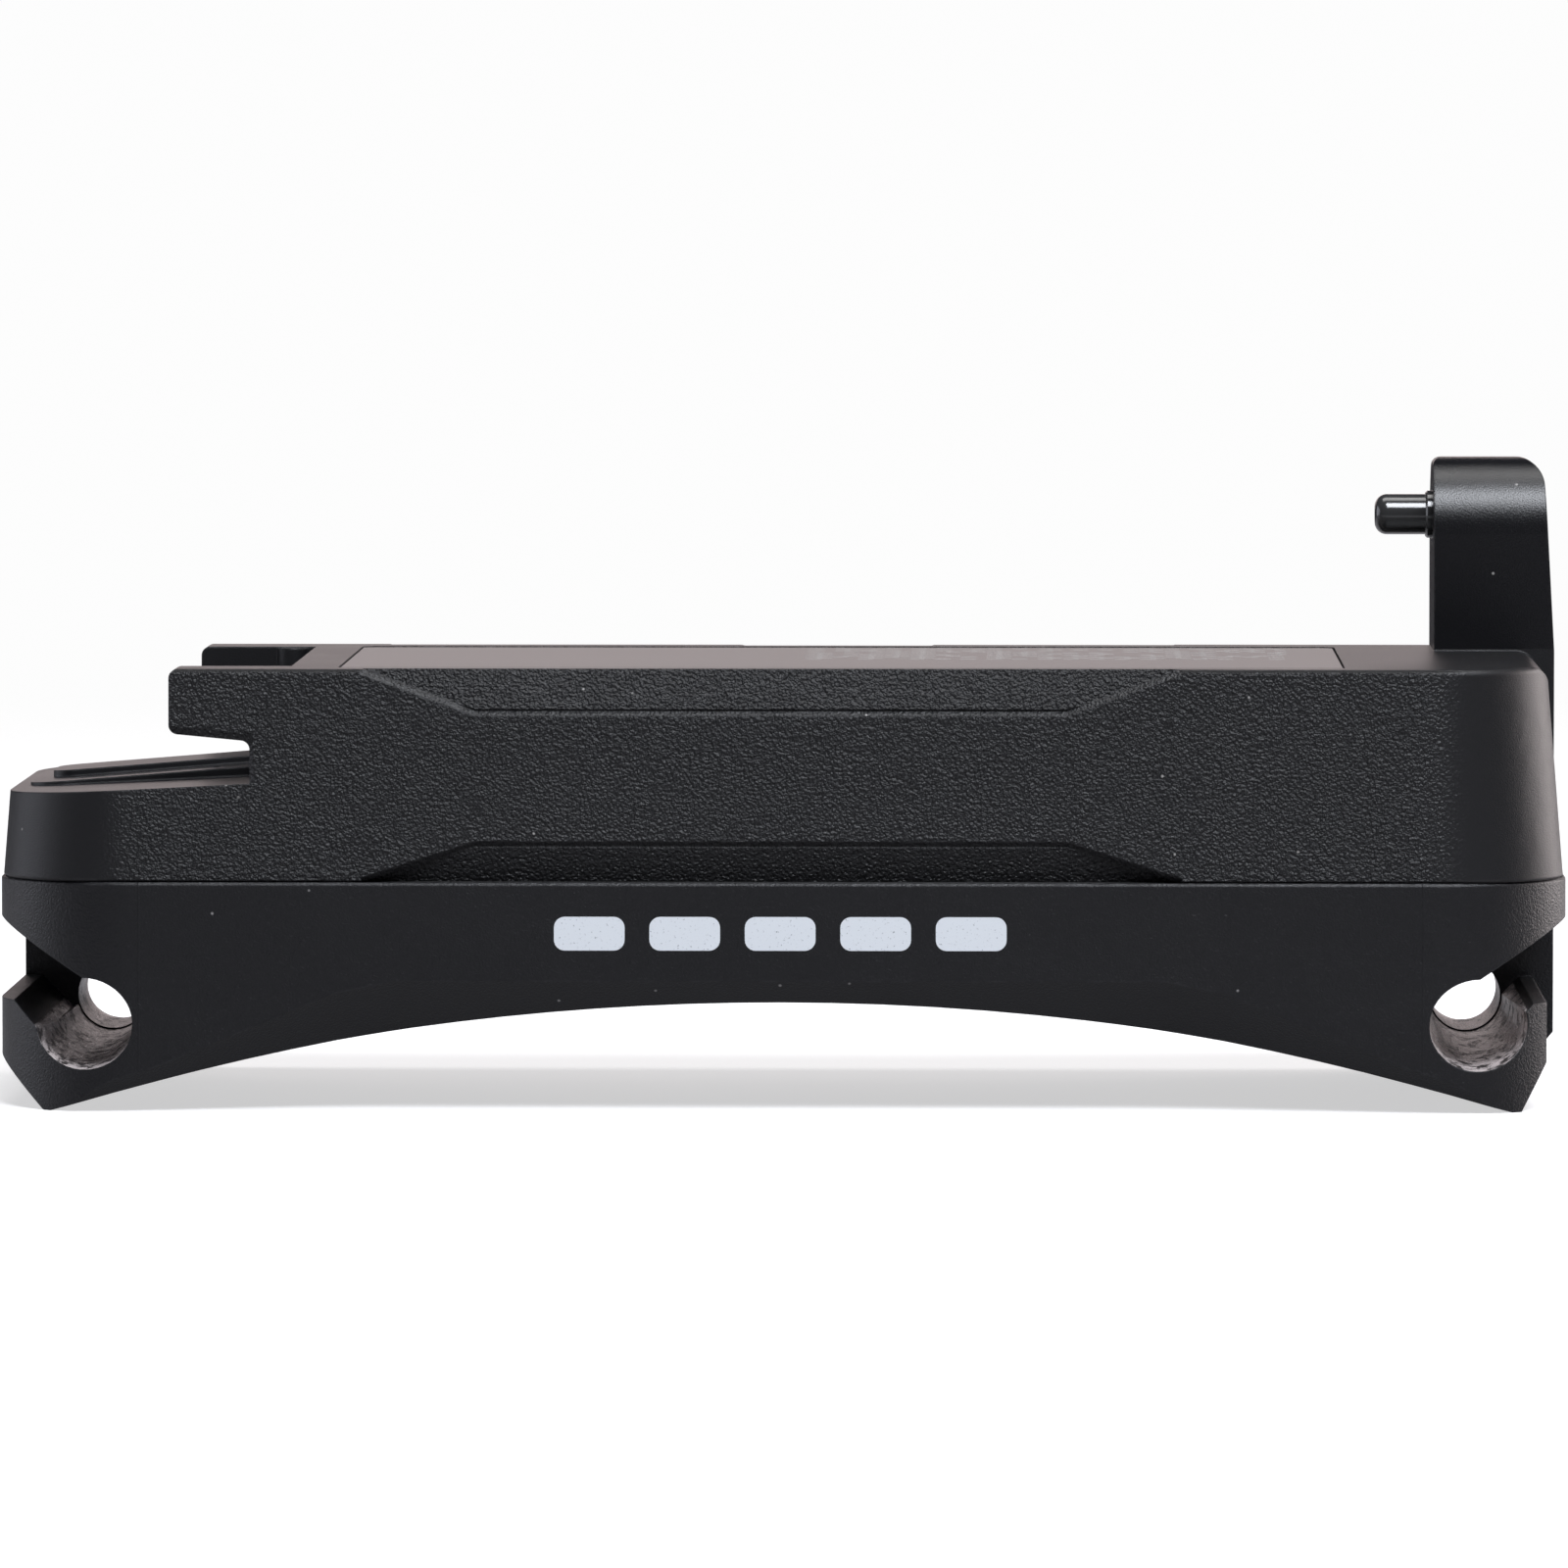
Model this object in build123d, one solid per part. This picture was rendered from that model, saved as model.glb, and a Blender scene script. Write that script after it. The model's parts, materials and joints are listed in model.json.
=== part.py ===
"""Rear battery pack of a headlamp: two hooked case shells, cells, board, latch post and end-face controls.

Millimetres. +X runs from the docking fork to the latch post, +Y to the side that carries the post, and
+Z from the two feet, which rest against the head strap, up to the flat top. The origin is under the
middle of the case, on the plane that the feet stand on.
"""
from build123d import *
import math
import os

# ---- overall case ------------------------------------------------------------------------------------
CASE_LENGTH = 102.6      # end to end at the parting line
CASE_DEPTH = 38.0        # side to side
PARTING_Z = 15.0         # where the two shells meet
TOP_Z = 28.85            # flat top of the upper shell
CORNER_R = 9.0           # plan corners of the lower shell
WALL = 1.8               # shell walls
TOP_WALL = 1.6           # top plate
SHELL_STEP = 0.2         # the upper shell sits this far inside the lower one
END_DRAFT = 1.1          # how far each end of the upper shell leans in by the top
SIDE_DRAFT = 0.3         # the same for the long sides
END_ROUND = 1.4          # rounding over the top of each end
TOP_ROUND = 0.4          # rounding along the rest of the top edge
SEAM = 0.15              # bevel on both shells along the parting line

# ---- underside, feet and strap hooks -----------------------------------------------------------------
ARCH_RISE = 7.15         # height of the concave underside at the middle
FOOT_INSET = 3.7         # inner end of each foot's flat, from the end of the case
FOOT_FLAT = 0.5          # width of the flat that the case stands on
POST_FOOT_OUT = 0.45     # how much further out the foot at the post's end reaches, behind the hook
FACET_Z = 3.7            # top of the facet outside each foot
LIP_Z = 7.0              # tip of each hook lip
LIP_WIDTH = 1.1          # flat tip of the lip at the fork's end
LIP_LEAN = 2.1           # how far the inner side of each lip leans out
POST_LIP_INSET = 1.4     # outer face of the lip at the post's end, from the end of the case
POST_LIP_WIDTH = 0.9
HOOK_INSET = 5.9         # strap rod axis, from the end of the case
HOOK_Z = 5.75            # strap rod axis, height
HOOK_R = 3.02            # mouth of the open trough, upwards
HOOK_MOUTH = 3.3         # mouth of the open trough, sideways
ROD_HOLE_R = 2.35        # closed hole in the far wall
HOOK_WALL = 10.1         # thickness of that far wall
SLOT_OUT_Z = 12.4        # outer end of the slot's ceiling
CREASE_Z = 8.6           # edge of the facet along the lower side, at the middle
CREASE_FLAT = 25.0       # half length of the level stretch of that edge
CREASE_SINK = 2.6        # how far the facet cuts in where the sides meet the underside

# ---- recessed panels in the long sides of the upper shell --------------------------------------------
PANEL_SHIFT = -0.6       # centre of the panels along X
PANEL_HALF = 26.6        # half length at the edge of the shell
PANEL_TAPER = 7.4        # how much shorter each end is at the inner edge
PANEL_DEPTH = 1.1        # how far a panel leans in at the edge of the shell
PANEL_LEAN = 0.3         # how much further it would lean in a millimetre beyond that edge
PANEL_GROOVE_DEPTH = 0.2 # recess at the groove
TOP_PANEL_H = 2.7        # height of the panel under the top edge
LOW_PANEL_H = 2.4        # height of the panel over the parting line
GROOVE = 0.25            # width and depth of the groove along each panel

# ---- docking fork and deck ---------------------------------------------------------------------------
FORK_BACK = 16.8         # closed end of the fork slots, from the end of the case
FORK_TAB = 5.25          # how far the tabs reach out over the deck
FORK_WALL = 5.0          # thickness of each fork side
FORK_ROOM_Z = 24.65      # underside of the tabs at their tips
FORK_LEAD = 0.5          # how much lower that underside is at the root
DOCK_BACK = 19.3         # end wall between the fork sides, from the end of the case
DECK_OUT_Z = 20.55       # deck at the end of the case
DECK_IN_Z = 21.4         # deck at the fork slots
TAB_CHAMFER = 1.1        # slanted lower edge of the fork, on its outer faces
TAB_CHAMFER_IN = 0.45    # how far that slant reaches in
RAMP_HALF = 8.6          # half width of the raised ramp
RAMP_OUT_Z = 20.7        # top of the ramp at the end of the case
RAMP_IN_Z = 22.05        # top of the ramp at the fork slots
KEEL_HALF = 3.6          # half width of the keel along the middle of the ramp
KEEL_RISE = 0.45
RAIL_Y = 6.1             # grooves beside the keel
RAIL_WIDTH = 1.2
RAIL_SINK = 0.35
DETENT = 1.1             # bumps inside the fork sides

# ---- top face ----------------------------------------------------------------------------------------
LABEL_LENGTH = 65.6
LABEL_WIDTH = 31.2
LABEL_SHIFT_X = 3.9
LABEL_SHIFT_Y = -0.85
LABEL_SINK = 0.3         # recess for the label plate
LABEL_THICK = 0.25
LABEL_GAP = 0.15         # between the label plate and the edge of its recess
GRIP_LENGTH = 24.0       # finger grip in the far top edge
GRIP_SHIFT = 3.2
GRIP_SINK = 0.9

# ---- latch post and plunger --------------------------------------------------------------------------
POST_TOP_Z = 41.75
POST_WIDTH = 8.05        # along X, at the foot
POST_DRAFT = 0.7         # how far its outer face leans in by the top
POST_DEPTH = 10.1        # along Y
PLUNGER_Z = 37.85
PLUNGER_R = 1.36         # nose
PLUNGER_SHAFT_R = 1.6    # the stretch that runs in the bushing
PLUNGER_OUT = 3.85       # how far the plunger stands out of the post
PLUNGER_STEP = 0.45      # how much of that is the thicker stretch
NOSE_ROUND = 0.8         # rounding of the nose's end
FLANGE_R = 2.3
FLANGE_LENGTH = 1.0
BUSHING_R = 2.0
BUSHING_LENGTH = 1.7
PLUG_LENGTH = 1.0
SPRING_WIRE_R = 0.13
SPRING_TURNS = 5
RUN_GAP = 0.05           # radial clearance of parts that slide or turn

# ---- cells and their holders -------------------------------------------------------------------------
CELL_R = 8.2
CELL_LENGTH = 50.0
CELL_GAP = 0.3           # between the two cells
CELL_FLOOR_GAP = 0.3     # between the cells and the middle of the arched floor
HOLDER_CUP = 5.0         # how far a holder reaches along the cells
HOLDER_BACK = 2.0        # its end plate
HOLDER_GAP = 0.35        # between a holder and the case
TAB_THICK = 0.25         # nickel strips
TAB_WIDTH = 6.0

# ---- circuit board, charge port, gauge ---------------------------------------------------------------
BOARD_LENGTH = 17.0
BOARD_WIDTH = 21.0
BOARD_THICK = 1.2
BOARD_SCREW_Y = 7.6
PORT_Z = 20.6            # middle of the charge socket
SOCKET_WIDTH = 7.6
SOCKET_HEIGHT = 2.9
SOCKET_LENGTH = 5.6
SOCKET_SHELL = 0.35
COVER_WIDTH = 9.0
COVER_THICK = 1.1
COVER_RISE = 6.6         # from the hinge axis to the top edge
COVER_PIN_R = 0.4
COVER_PIN_GRIP = 1.1     # how far the pin goes into the case at each end
KNUCKLE_R = 0.85
MOVE_GAP = 0.15          # between a moving cap or cover and its recess
BUTTON_Y = -8.4
BUTTON_R = 1.6
BUTTON_TRAVEL = 0.5
BUTTON_RISE = 1.0        # button axis over the middle of the socket
PIPE_Y = 7.2
PIPE_WIDTH = 1.4
PIPE_HEIGHT = 5.0

# ---- output contacts in the end wall of the dock -----------------------------------------------------
CONTACT_WIDTH = 15.0
CONTACT_HEIGHT = 3.6
CONTACT_Z = 24.6
CONTACT_PITCH = 5.0
CONTACT_BLADE_W = 2.4

# ---- fasteners ---------------------------------------------------------------------------------------
SCREW_INSET_X = 13.0     # case screws, from the ends of the case
SCREW_INSET_Y = 5.6      # case screws, from the sides of the case
SCREW_R = 1.0
SCREW_HEAD_R = 1.9
SCREW_HEAD_H = 1.3
SCREW_LENGTH = 9.0
BOSS_WALL = 1.1
BOARD_SCREW_R = 0.7
BOARD_SCREW_HEAD_R = 1.3
BOARD_SCREW_LENGTH = 4.5
GASKET = 0.6             # seal bead in the parting line

# ---- worked out from the above -----------------------------------------------------------------------
END_X = CASE_LENGTH / 2
SIDE_Y = CASE_DEPTH / 2
UP_END = END_X - SHELL_STEP
UP_SIDE = SIDE_Y - SHELL_STEP
UP_RADIUS = CORNER_R - 1.0
FOOT_X = END_X - FOOT_INSET
ARCH_R = (FOOT_X**2 + ARCH_RISE**2) / (2 * ARCH_RISE)
ARCH_CENTRE_Z = ARCH_RISE - ARCH_R
HOOK_X = END_X - HOOK_INSET
HOOK_WALL_Y = SIDE_Y - HOOK_WALL
FORK_X = -END_X + FORK_BACK
FORK_TIP_X = FORK_X - FORK_TAB
DOCK_X = -END_X + DOCK_BACK
DOCK_HALF = SIDE_Y - FORK_WALL
DECK_SLOPE = (DECK_IN_Z - DECK_OUT_Z) / FORK_BACK
RAMP_SLOPE = (RAMP_IN_Z - RAMP_OUT_Z) / FORK_BACK
POST_X = END_X - POST_WIDTH
POST_Y = SIDE_Y - POST_DEPTH / 2
CHAMBER_X = POST_X + BUSHING_LENGTH
CHAMBER_R = FLANGE_R + RUN_GAP
FLANGE_X = CHAMBER_X + 0.02
PLUG_X = END_X - POST_DRAFT - 0.4 - PLUG_LENGTH
CELL_Z = ARCH_RISE + WALL + CELL_FLOOR_GAP + CELL_R
CELL_Y = CELL_R + CELL_GAP / 2
CAVITY_X0 = DOCK_X + WALL
CELL_X0 = CAVITY_X0 + HOLDER_GAP + HOLDER_BACK
CELL_X1 = CELL_X0 + CELL_LENGTH
HOLDER_TOP_Z = TOP_Z - TOP_WALL - HOLDER_GAP
HOLDER_BOTTOM_Z = PARTING_Z - 5.6
HOLDER_HALF = UP_SIDE - SIDE_DRAFT - WALL - HOLDER_GAP
FLOOR_STEP_Z = HOLDER_BOTTOM_Z - HOLDER_GAP
COVER_FACE_X = END_X - 1.1
HINGE_X = COVER_FACE_X - KNUCKLE_R
HINGE_Z = PORT_Z - COVER_RISE / 2
RECESS_X = COVER_FACE_X - COVER_THICK - 0.1
PORT_PAD_X = RECESS_X - 1.5
BOARD_TOP_Z = PORT_Z - SOCKET_HEIGHT / 2
BOARD_X1 = PORT_PAD_X - 0.4
BOARD_X0 = BOARD_X1 - BOARD_LENGTH
BUTTON_Z = PORT_Z + BUTTON_RISE
PIPE_Z = BOARD_TOP_Z + 0.15 + PIPE_HEIGHT / 2
BOARD_SCREW_X = BOARD_X0 + 3.0
SCREW_X = END_X - SCREW_INSET_X
SCREW_Y = SIDE_Y - SCREW_INSET_Y
CASE_SCREWS = [(sx * SCREW_X, sy * SCREW_Y) for sx in (-1, 1) for sy in (-1, 1)]
BOARD_SCREWS = [(BOARD_SCREW_X, sy * BOARD_SCREW_Y) for sy in (-1, 1)]
SCREW_SEAT_Z = ARCH_CENTRE_Z + math.sqrt(ARCH_R**2 - SCREW_X**2) + 2.2
SCREW_TOP_Z = SCREW_SEAT_Z + SCREW_LENGTH + BOSS_WALL


# ---- helpers -----------------------------------------------------------------------------------------
def box(x0, x1, y0, y1, z0, z1):
    """A box between two corners."""
    centre = ((x0 + x1) / 2, (y0 + y1) / 2, (z0 + z1) / 2)
    return Pos(*centre) * Box(x1 - x0, y1 - y0, z1 - z0)


def plate(half_x, half_y, radius, z0, z1):
    """A slab with round plan corners, centred on the Z axis."""
    outline = Pos(0, 0, z0) * RectangleRounded(2 * half_x, 2 * half_y, radius)
    return extrude(outline, z1 - z0)


def side_prism(points, y0, y1):
    """A prism along Y from a closed outline in X and Z."""
    outline = Plane.XZ * make_face(Polyline(*points, close=True))
    return Pos(0, y1, 0) * extrude(outline, y1 - y0)


def rod_x(radius, x0, x1, y, z):
    """A cylinder along X."""
    return Pos((x0 + x1) / 2, y, z) * Rot(0, 90, 0) * Cylinder(radius, x1 - x0)


def rod_y(radius, y0, y1, x, z):
    """A cylinder along Y."""
    return Pos(x, (y0 + y1) / 2, z) * Rot(90, 0, 0) * Cylinder(radius, y1 - y0)


def rod_z(radius, z0, z1, x, y):
    """A cylinder along Z."""
    return Pos(x, y, (z0 + z1) / 2) * Cylinder(radius, z1 - z0)


def both_ends(shape):
    """The shape and its mirror image about the middle of the case."""
    return shape + mirror(shape, Plane.YZ)


def both_sides(shape):
    """The shape and its mirror image on the other long side."""
    return shape + mirror(shape, Plane.XZ)


def arch_block(radius, end_x, top_z, y0, y1):
    """Everything over a cylinder of this radius that lies on the arch's axis, out to the two ends."""
    block = box(-end_x, end_x, y0, y1, -1, top_z)
    return block - rod_y(radius, y0 - 1, y1 + 1, 0, ARCH_CENTRE_Z)


def shell_loft(step, z0, z1):
    """The drafted outer shape of the upper shell, made smaller by a step all round."""
    full = TOP_Z - PARTING_Z
    sections = []
    for z in (z0, z1):
        share = (z - PARTING_Z) / full
        half_x = UP_END - END_DRAFT * share - step
        half_y = UP_SIDE - SIDE_DRAFT * share - step
        sections.append(Pos(0, 0, z) * RectangleRounded(2 * half_x, 2 * half_y, UP_RADIUS - step))
    return loft(sections, ruled=True)


def deck_z(x):
    """Height of the deck under the docking fork."""
    return DECK_IN_Z + DECK_SLOPE * (x - FORK_X)


# ---- lower shell -------------------------------------------------------------------------------------
def lower_outline():
    """The case between the parting line and the feet, in X and Z, as a prism."""
    foot_x = FOOT_X + FOOT_FLAT
    right = [(END_X, PARTING_Z), (END_X, FACET_Z - 0.4), (foot_x + POST_FOOT_OUT, 0)]
    left = [(-foot_x, 0), (-END_X, FACET_Z - 0.4), (-END_X, PARTING_Z)]
    prism = side_prism(right + left, -SIDE_Y, SIDE_Y)
    return prism - rod_y(ARCH_R, -SIDE_Y - 1, SIDE_Y + 1, 0, ARCH_CENTRE_Z)


def crease_cut():
    """The wedge that leaves the slanted facet along one long side, from the middle out to the foot."""
    reach = FOOT_X + FOOT_FLAT + 4
    edge = [(CREASE_FLAT, CREASE_Z), (FOOT_X - 18.8, CREASE_Z - 0.75), (FOOT_X - 6.5, 2.8)]
    edge += [(FOOT_X - 1.7, 1.55), (reach, 1.9)]
    top = [(-x, z) for x, z in reversed(edge)] + edge
    low = -12.0
    faces = []
    for y, drop in ((-SIDE_Y, 0.0), (-SIDE_Y + CREASE_SINK, 1.25 * CREASE_SINK)):
        points = [(x, y, z - drop) for x, z in top]
        points += [(reach, y, low), (-reach, y, low)]
        faces.append(make_face(Polyline(*points, close=True)))
    return loft(faces, ruled=True)


def hook_cut(lip_x, lip_width):
    """The open trough for a strap rod at one end, up to the far wall, with the rod's hole in that wall."""
    y0, y1 = -SIDE_Y - 1, HOOK_WALL_Y
    front = Plane(origin=(HOOK_X, y0, HOOK_Z), x_dir=(1, 0, 0), z_dir=(0, 1, 0))
    back = Plane(origin=(HOOK_X, y1, HOOK_Z), x_dir=(1, 0, 0), z_dir=(0, 1, 0))
    trough = loft([front * Ellipse(HOOK_MOUTH, HOOK_R), back * Circle(ROD_HOLE_R + 0.1)])
    out = END_X + 6
    ceiling_z = HOOK_Z + HOOK_R - 0.05
    ceiling = (SLOT_OUT_Z - ceiling_z) / (END_X - HOOK_X)
    slot = side_prism(
        [
            (HOOK_X, ceiling_z),
            (out, ceiling_z + ceiling * (out - HOOK_X)),
            (out, LIP_Z),
            (lip_x - lip_width, LIP_Z),
            (lip_x - lip_width - LIP_LEAN, LIP_Z - LIP_LEAN),
            (HOOK_X, HOOK_Z),
        ],
        y0,
        y1,
    )
    hole = rod_y(ROD_HOLE_R, HOOK_WALL_Y - 1, SIDE_Y + 1, HOOK_X, HOOK_Z)
    return trough + slot + hole


def post_lip_cut():
    """The step that makes the lip at the post's end shorter than the wall behind it."""
    lip_x = END_X - POST_LIP_INSET
    out = END_X + 2
    over = LIP_Z + 0.5
    points = [(FOOT_X + FOOT_FLAT, -0.2), (lip_x, FACET_Z - 0.6), (lip_x, over), (out, over), (out, -0.2)]
    return side_prism(points, -SIDE_Y - 1, HOOK_WALL_Y)


def lower_shell():
    """The half that bears on the strap, with hooks, feet, screw columns and cell space."""
    body = lower_outline() & plate(END_X, SIDE_Y, CORNER_R, -1, PARTING_Z)
    feet = body.edges().filter_by(Axis.Y).group_by(Axis.Z)[0]
    body = fillet(feet, 0.22)
    body = chamfer(body.faces().sort_by(Axis.Z)[-1].outer_wire().edges(), SEAM)
    body -= both_sides(crease_cut())
    cut_x = HOOK_X - HOOK_R - WALL
    floor_r = ARCH_R + WALL
    deep = arch_block(floor_r, cut_x, PARTING_Z + 1, -SIDE_Y + 2 * WALL + 0.3, SIDE_Y - 2 * WALL - 0.3)
    wide = plate(cut_x, SIDE_Y - WALL, WALL, FLOOR_STEP_Z, PARTING_Z + 1)
    rise = (SLOT_OUT_Z - HOOK_Z - HOOK_R) / (END_X - HOOK_X)
    over = HOOK_Z + HOOK_R + 1.2 * WALL
    ends = side_prism(
        [
            (cut_x - 1, over + rise * (cut_x - HOOK_X)),
            (END_X - WALL, over + rise * (END_X - WALL - HOOK_X)),
            (END_X - WALL, PARTING_Z + 1),
            (cut_x - 1, PARTING_Z + 1),
        ],
        -SIDE_Y,
        SIDE_Y,
    )
    ends &= plate(END_X - WALL, SIDE_Y - WALL, CORNER_R - WALL, 0, PARTING_Z + 1)
    body -= deep
    body -= wide & plate(END_X - WALL, SIDE_Y - WALL, CORNER_R - WALL, 0, PARTING_Z + 1)
    body -= both_ends(ends)
    for x, y in CASE_SCREWS:
        column = rod_z(SCREW_HEAD_R + BOSS_WALL, SCREW_SEAT_Z - 3.4, PARTING_Z - 2.0, x, y)
        body += column - rod_y(ARCH_R, -SIDE_Y - 1, SIDE_Y + 1, 0, ARCH_CENTRE_Z)
    for x, y in CASE_SCREWS:
        body -= rod_z(SCREW_HEAD_R + 0.15, -2, SCREW_SEAT_Z, x, y)
        body -= rod_z(SCREW_R + 0.15, SCREW_SEAT_Z - 1, PARTING_Z, x, y)
    body -= gasket_ring(0.0, GASKET)
    body -= hook_cut(END_X - POST_LIP_INSET, POST_LIP_WIDTH) + post_lip_cut()
    return body - mirror(hook_cut(END_X, LIP_WIDTH), about=Plane.YZ)


def gasket_ring(slack, height):
    """A ring in the middle of the parting face of the lower shell."""
    inset = 0.35 * WALL - slack
    outer = plate(END_X - inset, SIDE_Y - inset, CORNER_R - inset, PARTING_Z - height, PARTING_Z)
    inset = 0.75 * WALL + slack
    return outer - plate(END_X - inset, SIDE_Y - inset, CORNER_R - inset, PARTING_Z - height, PARTING_Z)


# ---- upper shell -------------------------------------------------------------------------------------
def seam_cut():
    """The ring that bevels the upper shell's lower edge."""
    sections = []
    for step in (SEAM, 0):
        outline = RectangleRounded(2 * (UP_END - step), 2 * (UP_SIDE - step), UP_RADIUS - step)
        sections.append(Pos(0, 0, PARTING_Z + SEAM - step) * outline)
    ring = plate(END_X + 1, SIDE_Y + 1, UP_RADIUS, PARTING_Z, PARTING_Z + SEAM)
    return ring - loft(sections, ruled=True)


def end_round_cut():
    """What the rounding takes off the top of one drafted end, from side to side."""
    lean = math.atan2(END_DRAFT, TOP_Z - PARTING_Z)
    centre_x = UP_END - END_DRAFT - END_ROUND * (1 - math.sin(lean)) / math.cos(lean)
    centre_z = TOP_Z - END_ROUND
    half = (math.pi / 2 + lean) / 2
    top = (centre_x, TOP_Z)
    mid = (centre_x + END_ROUND * math.cos(half), centre_z + END_ROUND * math.sin(half))
    low = (centre_x + END_ROUND * math.cos(lean), centre_z + END_ROUND * math.sin(lean))
    outer = Polyline(low, (END_X + 3, low[1]), (END_X + 3, TOP_Z + 1), (centre_x, TOP_Z + 1), top)
    outline = Plane.XZ * make_face([ThreePointArc(top, mid, low), outer])
    return Pos(0, SIDE_Y + 1, 0) * extrude(outline, 2 * SIDE_Y + 2)


def panel_cut(edge_z, inner_z):
    """One panel on the near side, which leans in from a groove toward the shell's edge."""
    way = math.copysign(1, inner_z - edge_z)
    face_y = -UP_SIDE + (SIDE_DRAFT if edge_z == TOP_Z else 0)
    short = PANEL_HALF - PANEL_TAPER
    per_mm = PANEL_TAPER / abs(inner_z - edge_z)
    levels = []
    for z, half, depth in (
        (edge_z - way, PANEL_HALF + per_mm, PANEL_DEPTH + PANEL_LEAN),
        (inner_z, short, PANEL_GROOVE_DEPTH),
    ):
        middle = (-SIDE_Y - 1 + face_y + depth) / 2
        width = face_y + depth + SIDE_Y + 1
        levels.append(Pos(PANEL_SHIFT, middle, z) * Rectangle(2 * half, width))
    wedge = loft(levels, ruled=True)
    corners = [(PANEL_HALF, edge_z), (short, inner_z), (-short, inner_z), (-PANEL_HALF, edge_z)]
    edge = Polyline(*[(x + PANEL_SHIFT, face_y, z) for x, z in corners])
    start = Plane(edge @ 0, z_dir=edge % 0) * Rot(0, 0, 45)
    groove = sweep(start * Rectangle(2 * GROOVE, 2 * GROOVE), edge, transition=Transition.RIGHT)
    return wedge + groove


def fork_cuts():
    """The room above the deck, around and between the fork's two tabs."""
    out = -END_X - 2
    high = TOP_Z + 1
    past = FORK_TIP_X + 3
    slot = side_prism(
        [
            (out, deck_z(out)),
            (FORK_X, DECK_IN_Z),
            (FORK_X, FORK_ROOM_Z - FORK_LEAD),
            (FORK_TIP_X, FORK_ROOM_Z),
            (FORK_TIP_X, TOP_Z),
            (past, TOP_Z),
            (past, high),
            (out, high),
        ],
        -SIDE_Y - 1,
        SIDE_Y + 1,
    )
    along = slot.edges().filter_by(Axis.Y)
    root = along.sort_by_distance(Vertex(FORK_X, 0, FORK_ROOM_Z - FORK_LEAD))[0]
    tip = along.sort_by_distance(Vertex(FORK_TIP_X, 0, FORK_ROOM_Z))[0]
    top = along.sort_by_distance(Vertex(FORK_TIP_X, 0, TOP_Z))[0]
    slot = fillet([root, tip, top], 0.6)
    bay = side_prism(
        [(out, deck_z(out)), (DOCK_X, deck_z(DOCK_X)), (DOCK_X, high), (out, high)],
        -DOCK_HALF,
        DOCK_HALF,
    )
    return slot + bay + both_sides(fork_chamfer())


def fork_chamfer():
    """The slanted edge round one fork slot, on the outer face of the case."""
    out = -END_X - 2
    root_z = FORK_ROOM_Z - FORK_LEAD
    tip_z = FORK_ROOM_Z + FORK_LEAD * (FORK_TIP_X - out) / FORK_TAB
    faces = []
    for y, grow in ((-SIDE_Y, 1.0 + SHELL_STEP / TAB_CHAMFER_IN), (-UP_SIDE + TAB_CHAMFER_IN, 0.0)):
        side = 0.4 * TAB_CHAMFER * grow
        lift = TAB_CHAMFER * grow
        points = [
            (out, y, tip_z + lift),
            (FORK_X + side, y, root_z + lift),
            (FORK_X + side, y, DECK_IN_Z + 0.05),
            (out, y, DECK_IN_Z + 0.05),
        ]
        faces.append(make_face(Polyline(*points, close=True)))
    return loft(faces, ruled=True)


def over_ramp(low, high):
    """The layer between two heights over the ramp's slope."""
    x0, x1 = -END_X - 1, DOCK_X + 0.5
    z0, z1 = ramp_z(x0), ramp_z(x1)
    return side_prism([(x0, z0 + low), (x1, z1 + low), (x1, z1 + high), (x0, z0 + high)], -SIDE_Y, SIDE_Y)


def guide_block(x0, half_y, radius):
    """A tall block from x0 to the dock's end wall, rounded in plan at its free end."""
    block = box(x0, DOCK_X + 0.5, -half_y, half_y, DECK_OUT_Z - 1, TOP_Z)
    return fillet(block.edges().filter_by(Axis.Z).group_by(Axis.X)[0], radius)


def ramp():
    """The guide on the deck between the fork sides, with a keel and a groove on each side of it."""
    body = guide_block(-END_X + 1.6, RAMP_HALF, 2.5) & over_ramp(-1.0, 0)
    body += guide_block(-END_X + 2.8, KEEL_HALF, 1.5) & over_ramp(-1.0, KEEL_RISE)
    for side in (-1, 1):
        rail_x = (FORK_TIP_X - END_X) / 2 + 3.4
        outline = Pos(rail_x, side * RAIL_Y, DECK_OUT_Z - 1) * SlotOverall(10.0, RAIL_WIDTH)
        body -= extrude(outline, TOP_Z - DECK_OUT_Z) & over_ramp(-RAIL_SINK, 2)
    return body


def ramp_z(x):
    """Height of the ramp's top between the fork sides."""
    return RAMP_IN_Z + RAMP_SLOPE * (x - FORK_X)


def post_solid():
    """The post, which rises from the end of the case, with a full round over its top."""
    top_x = END_X - POST_DRAFT
    outline = side_prism(
        [(POST_X, PARTING_Z), (END_X, PARTING_Z), (END_X, TOP_Z), (top_x, POST_TOP_Z), (POST_X, POST_TOP_Z)],
        SIDE_Y - POST_DEPTH,
        SIDE_Y,
    )
    tops = outline.edges().filter_by(Axis.Y).group_by(Axis.Z)[-1].sort_by(Axis.X)
    outline = fillet(tops[-1], 1.9)
    lefts = outline.edges().filter_by(Axis.Y).group_by(Axis.X)[0].sort_by(Axis.Z)
    outline = fillet(lefts[-1], 0.6)
    half = POST_DEPTH / 2
    arch = rod_x(half, 0, END_X + 1, POST_Y, POST_TOP_Z - half)
    arch += box(0, END_X + 1, POST_Y - half, POST_Y + half, 0, POST_TOP_Z - half)
    return outline & arch & plate(END_X, SIDE_Y, UP_RADIUS, 0, POST_TOP_Z)


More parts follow.
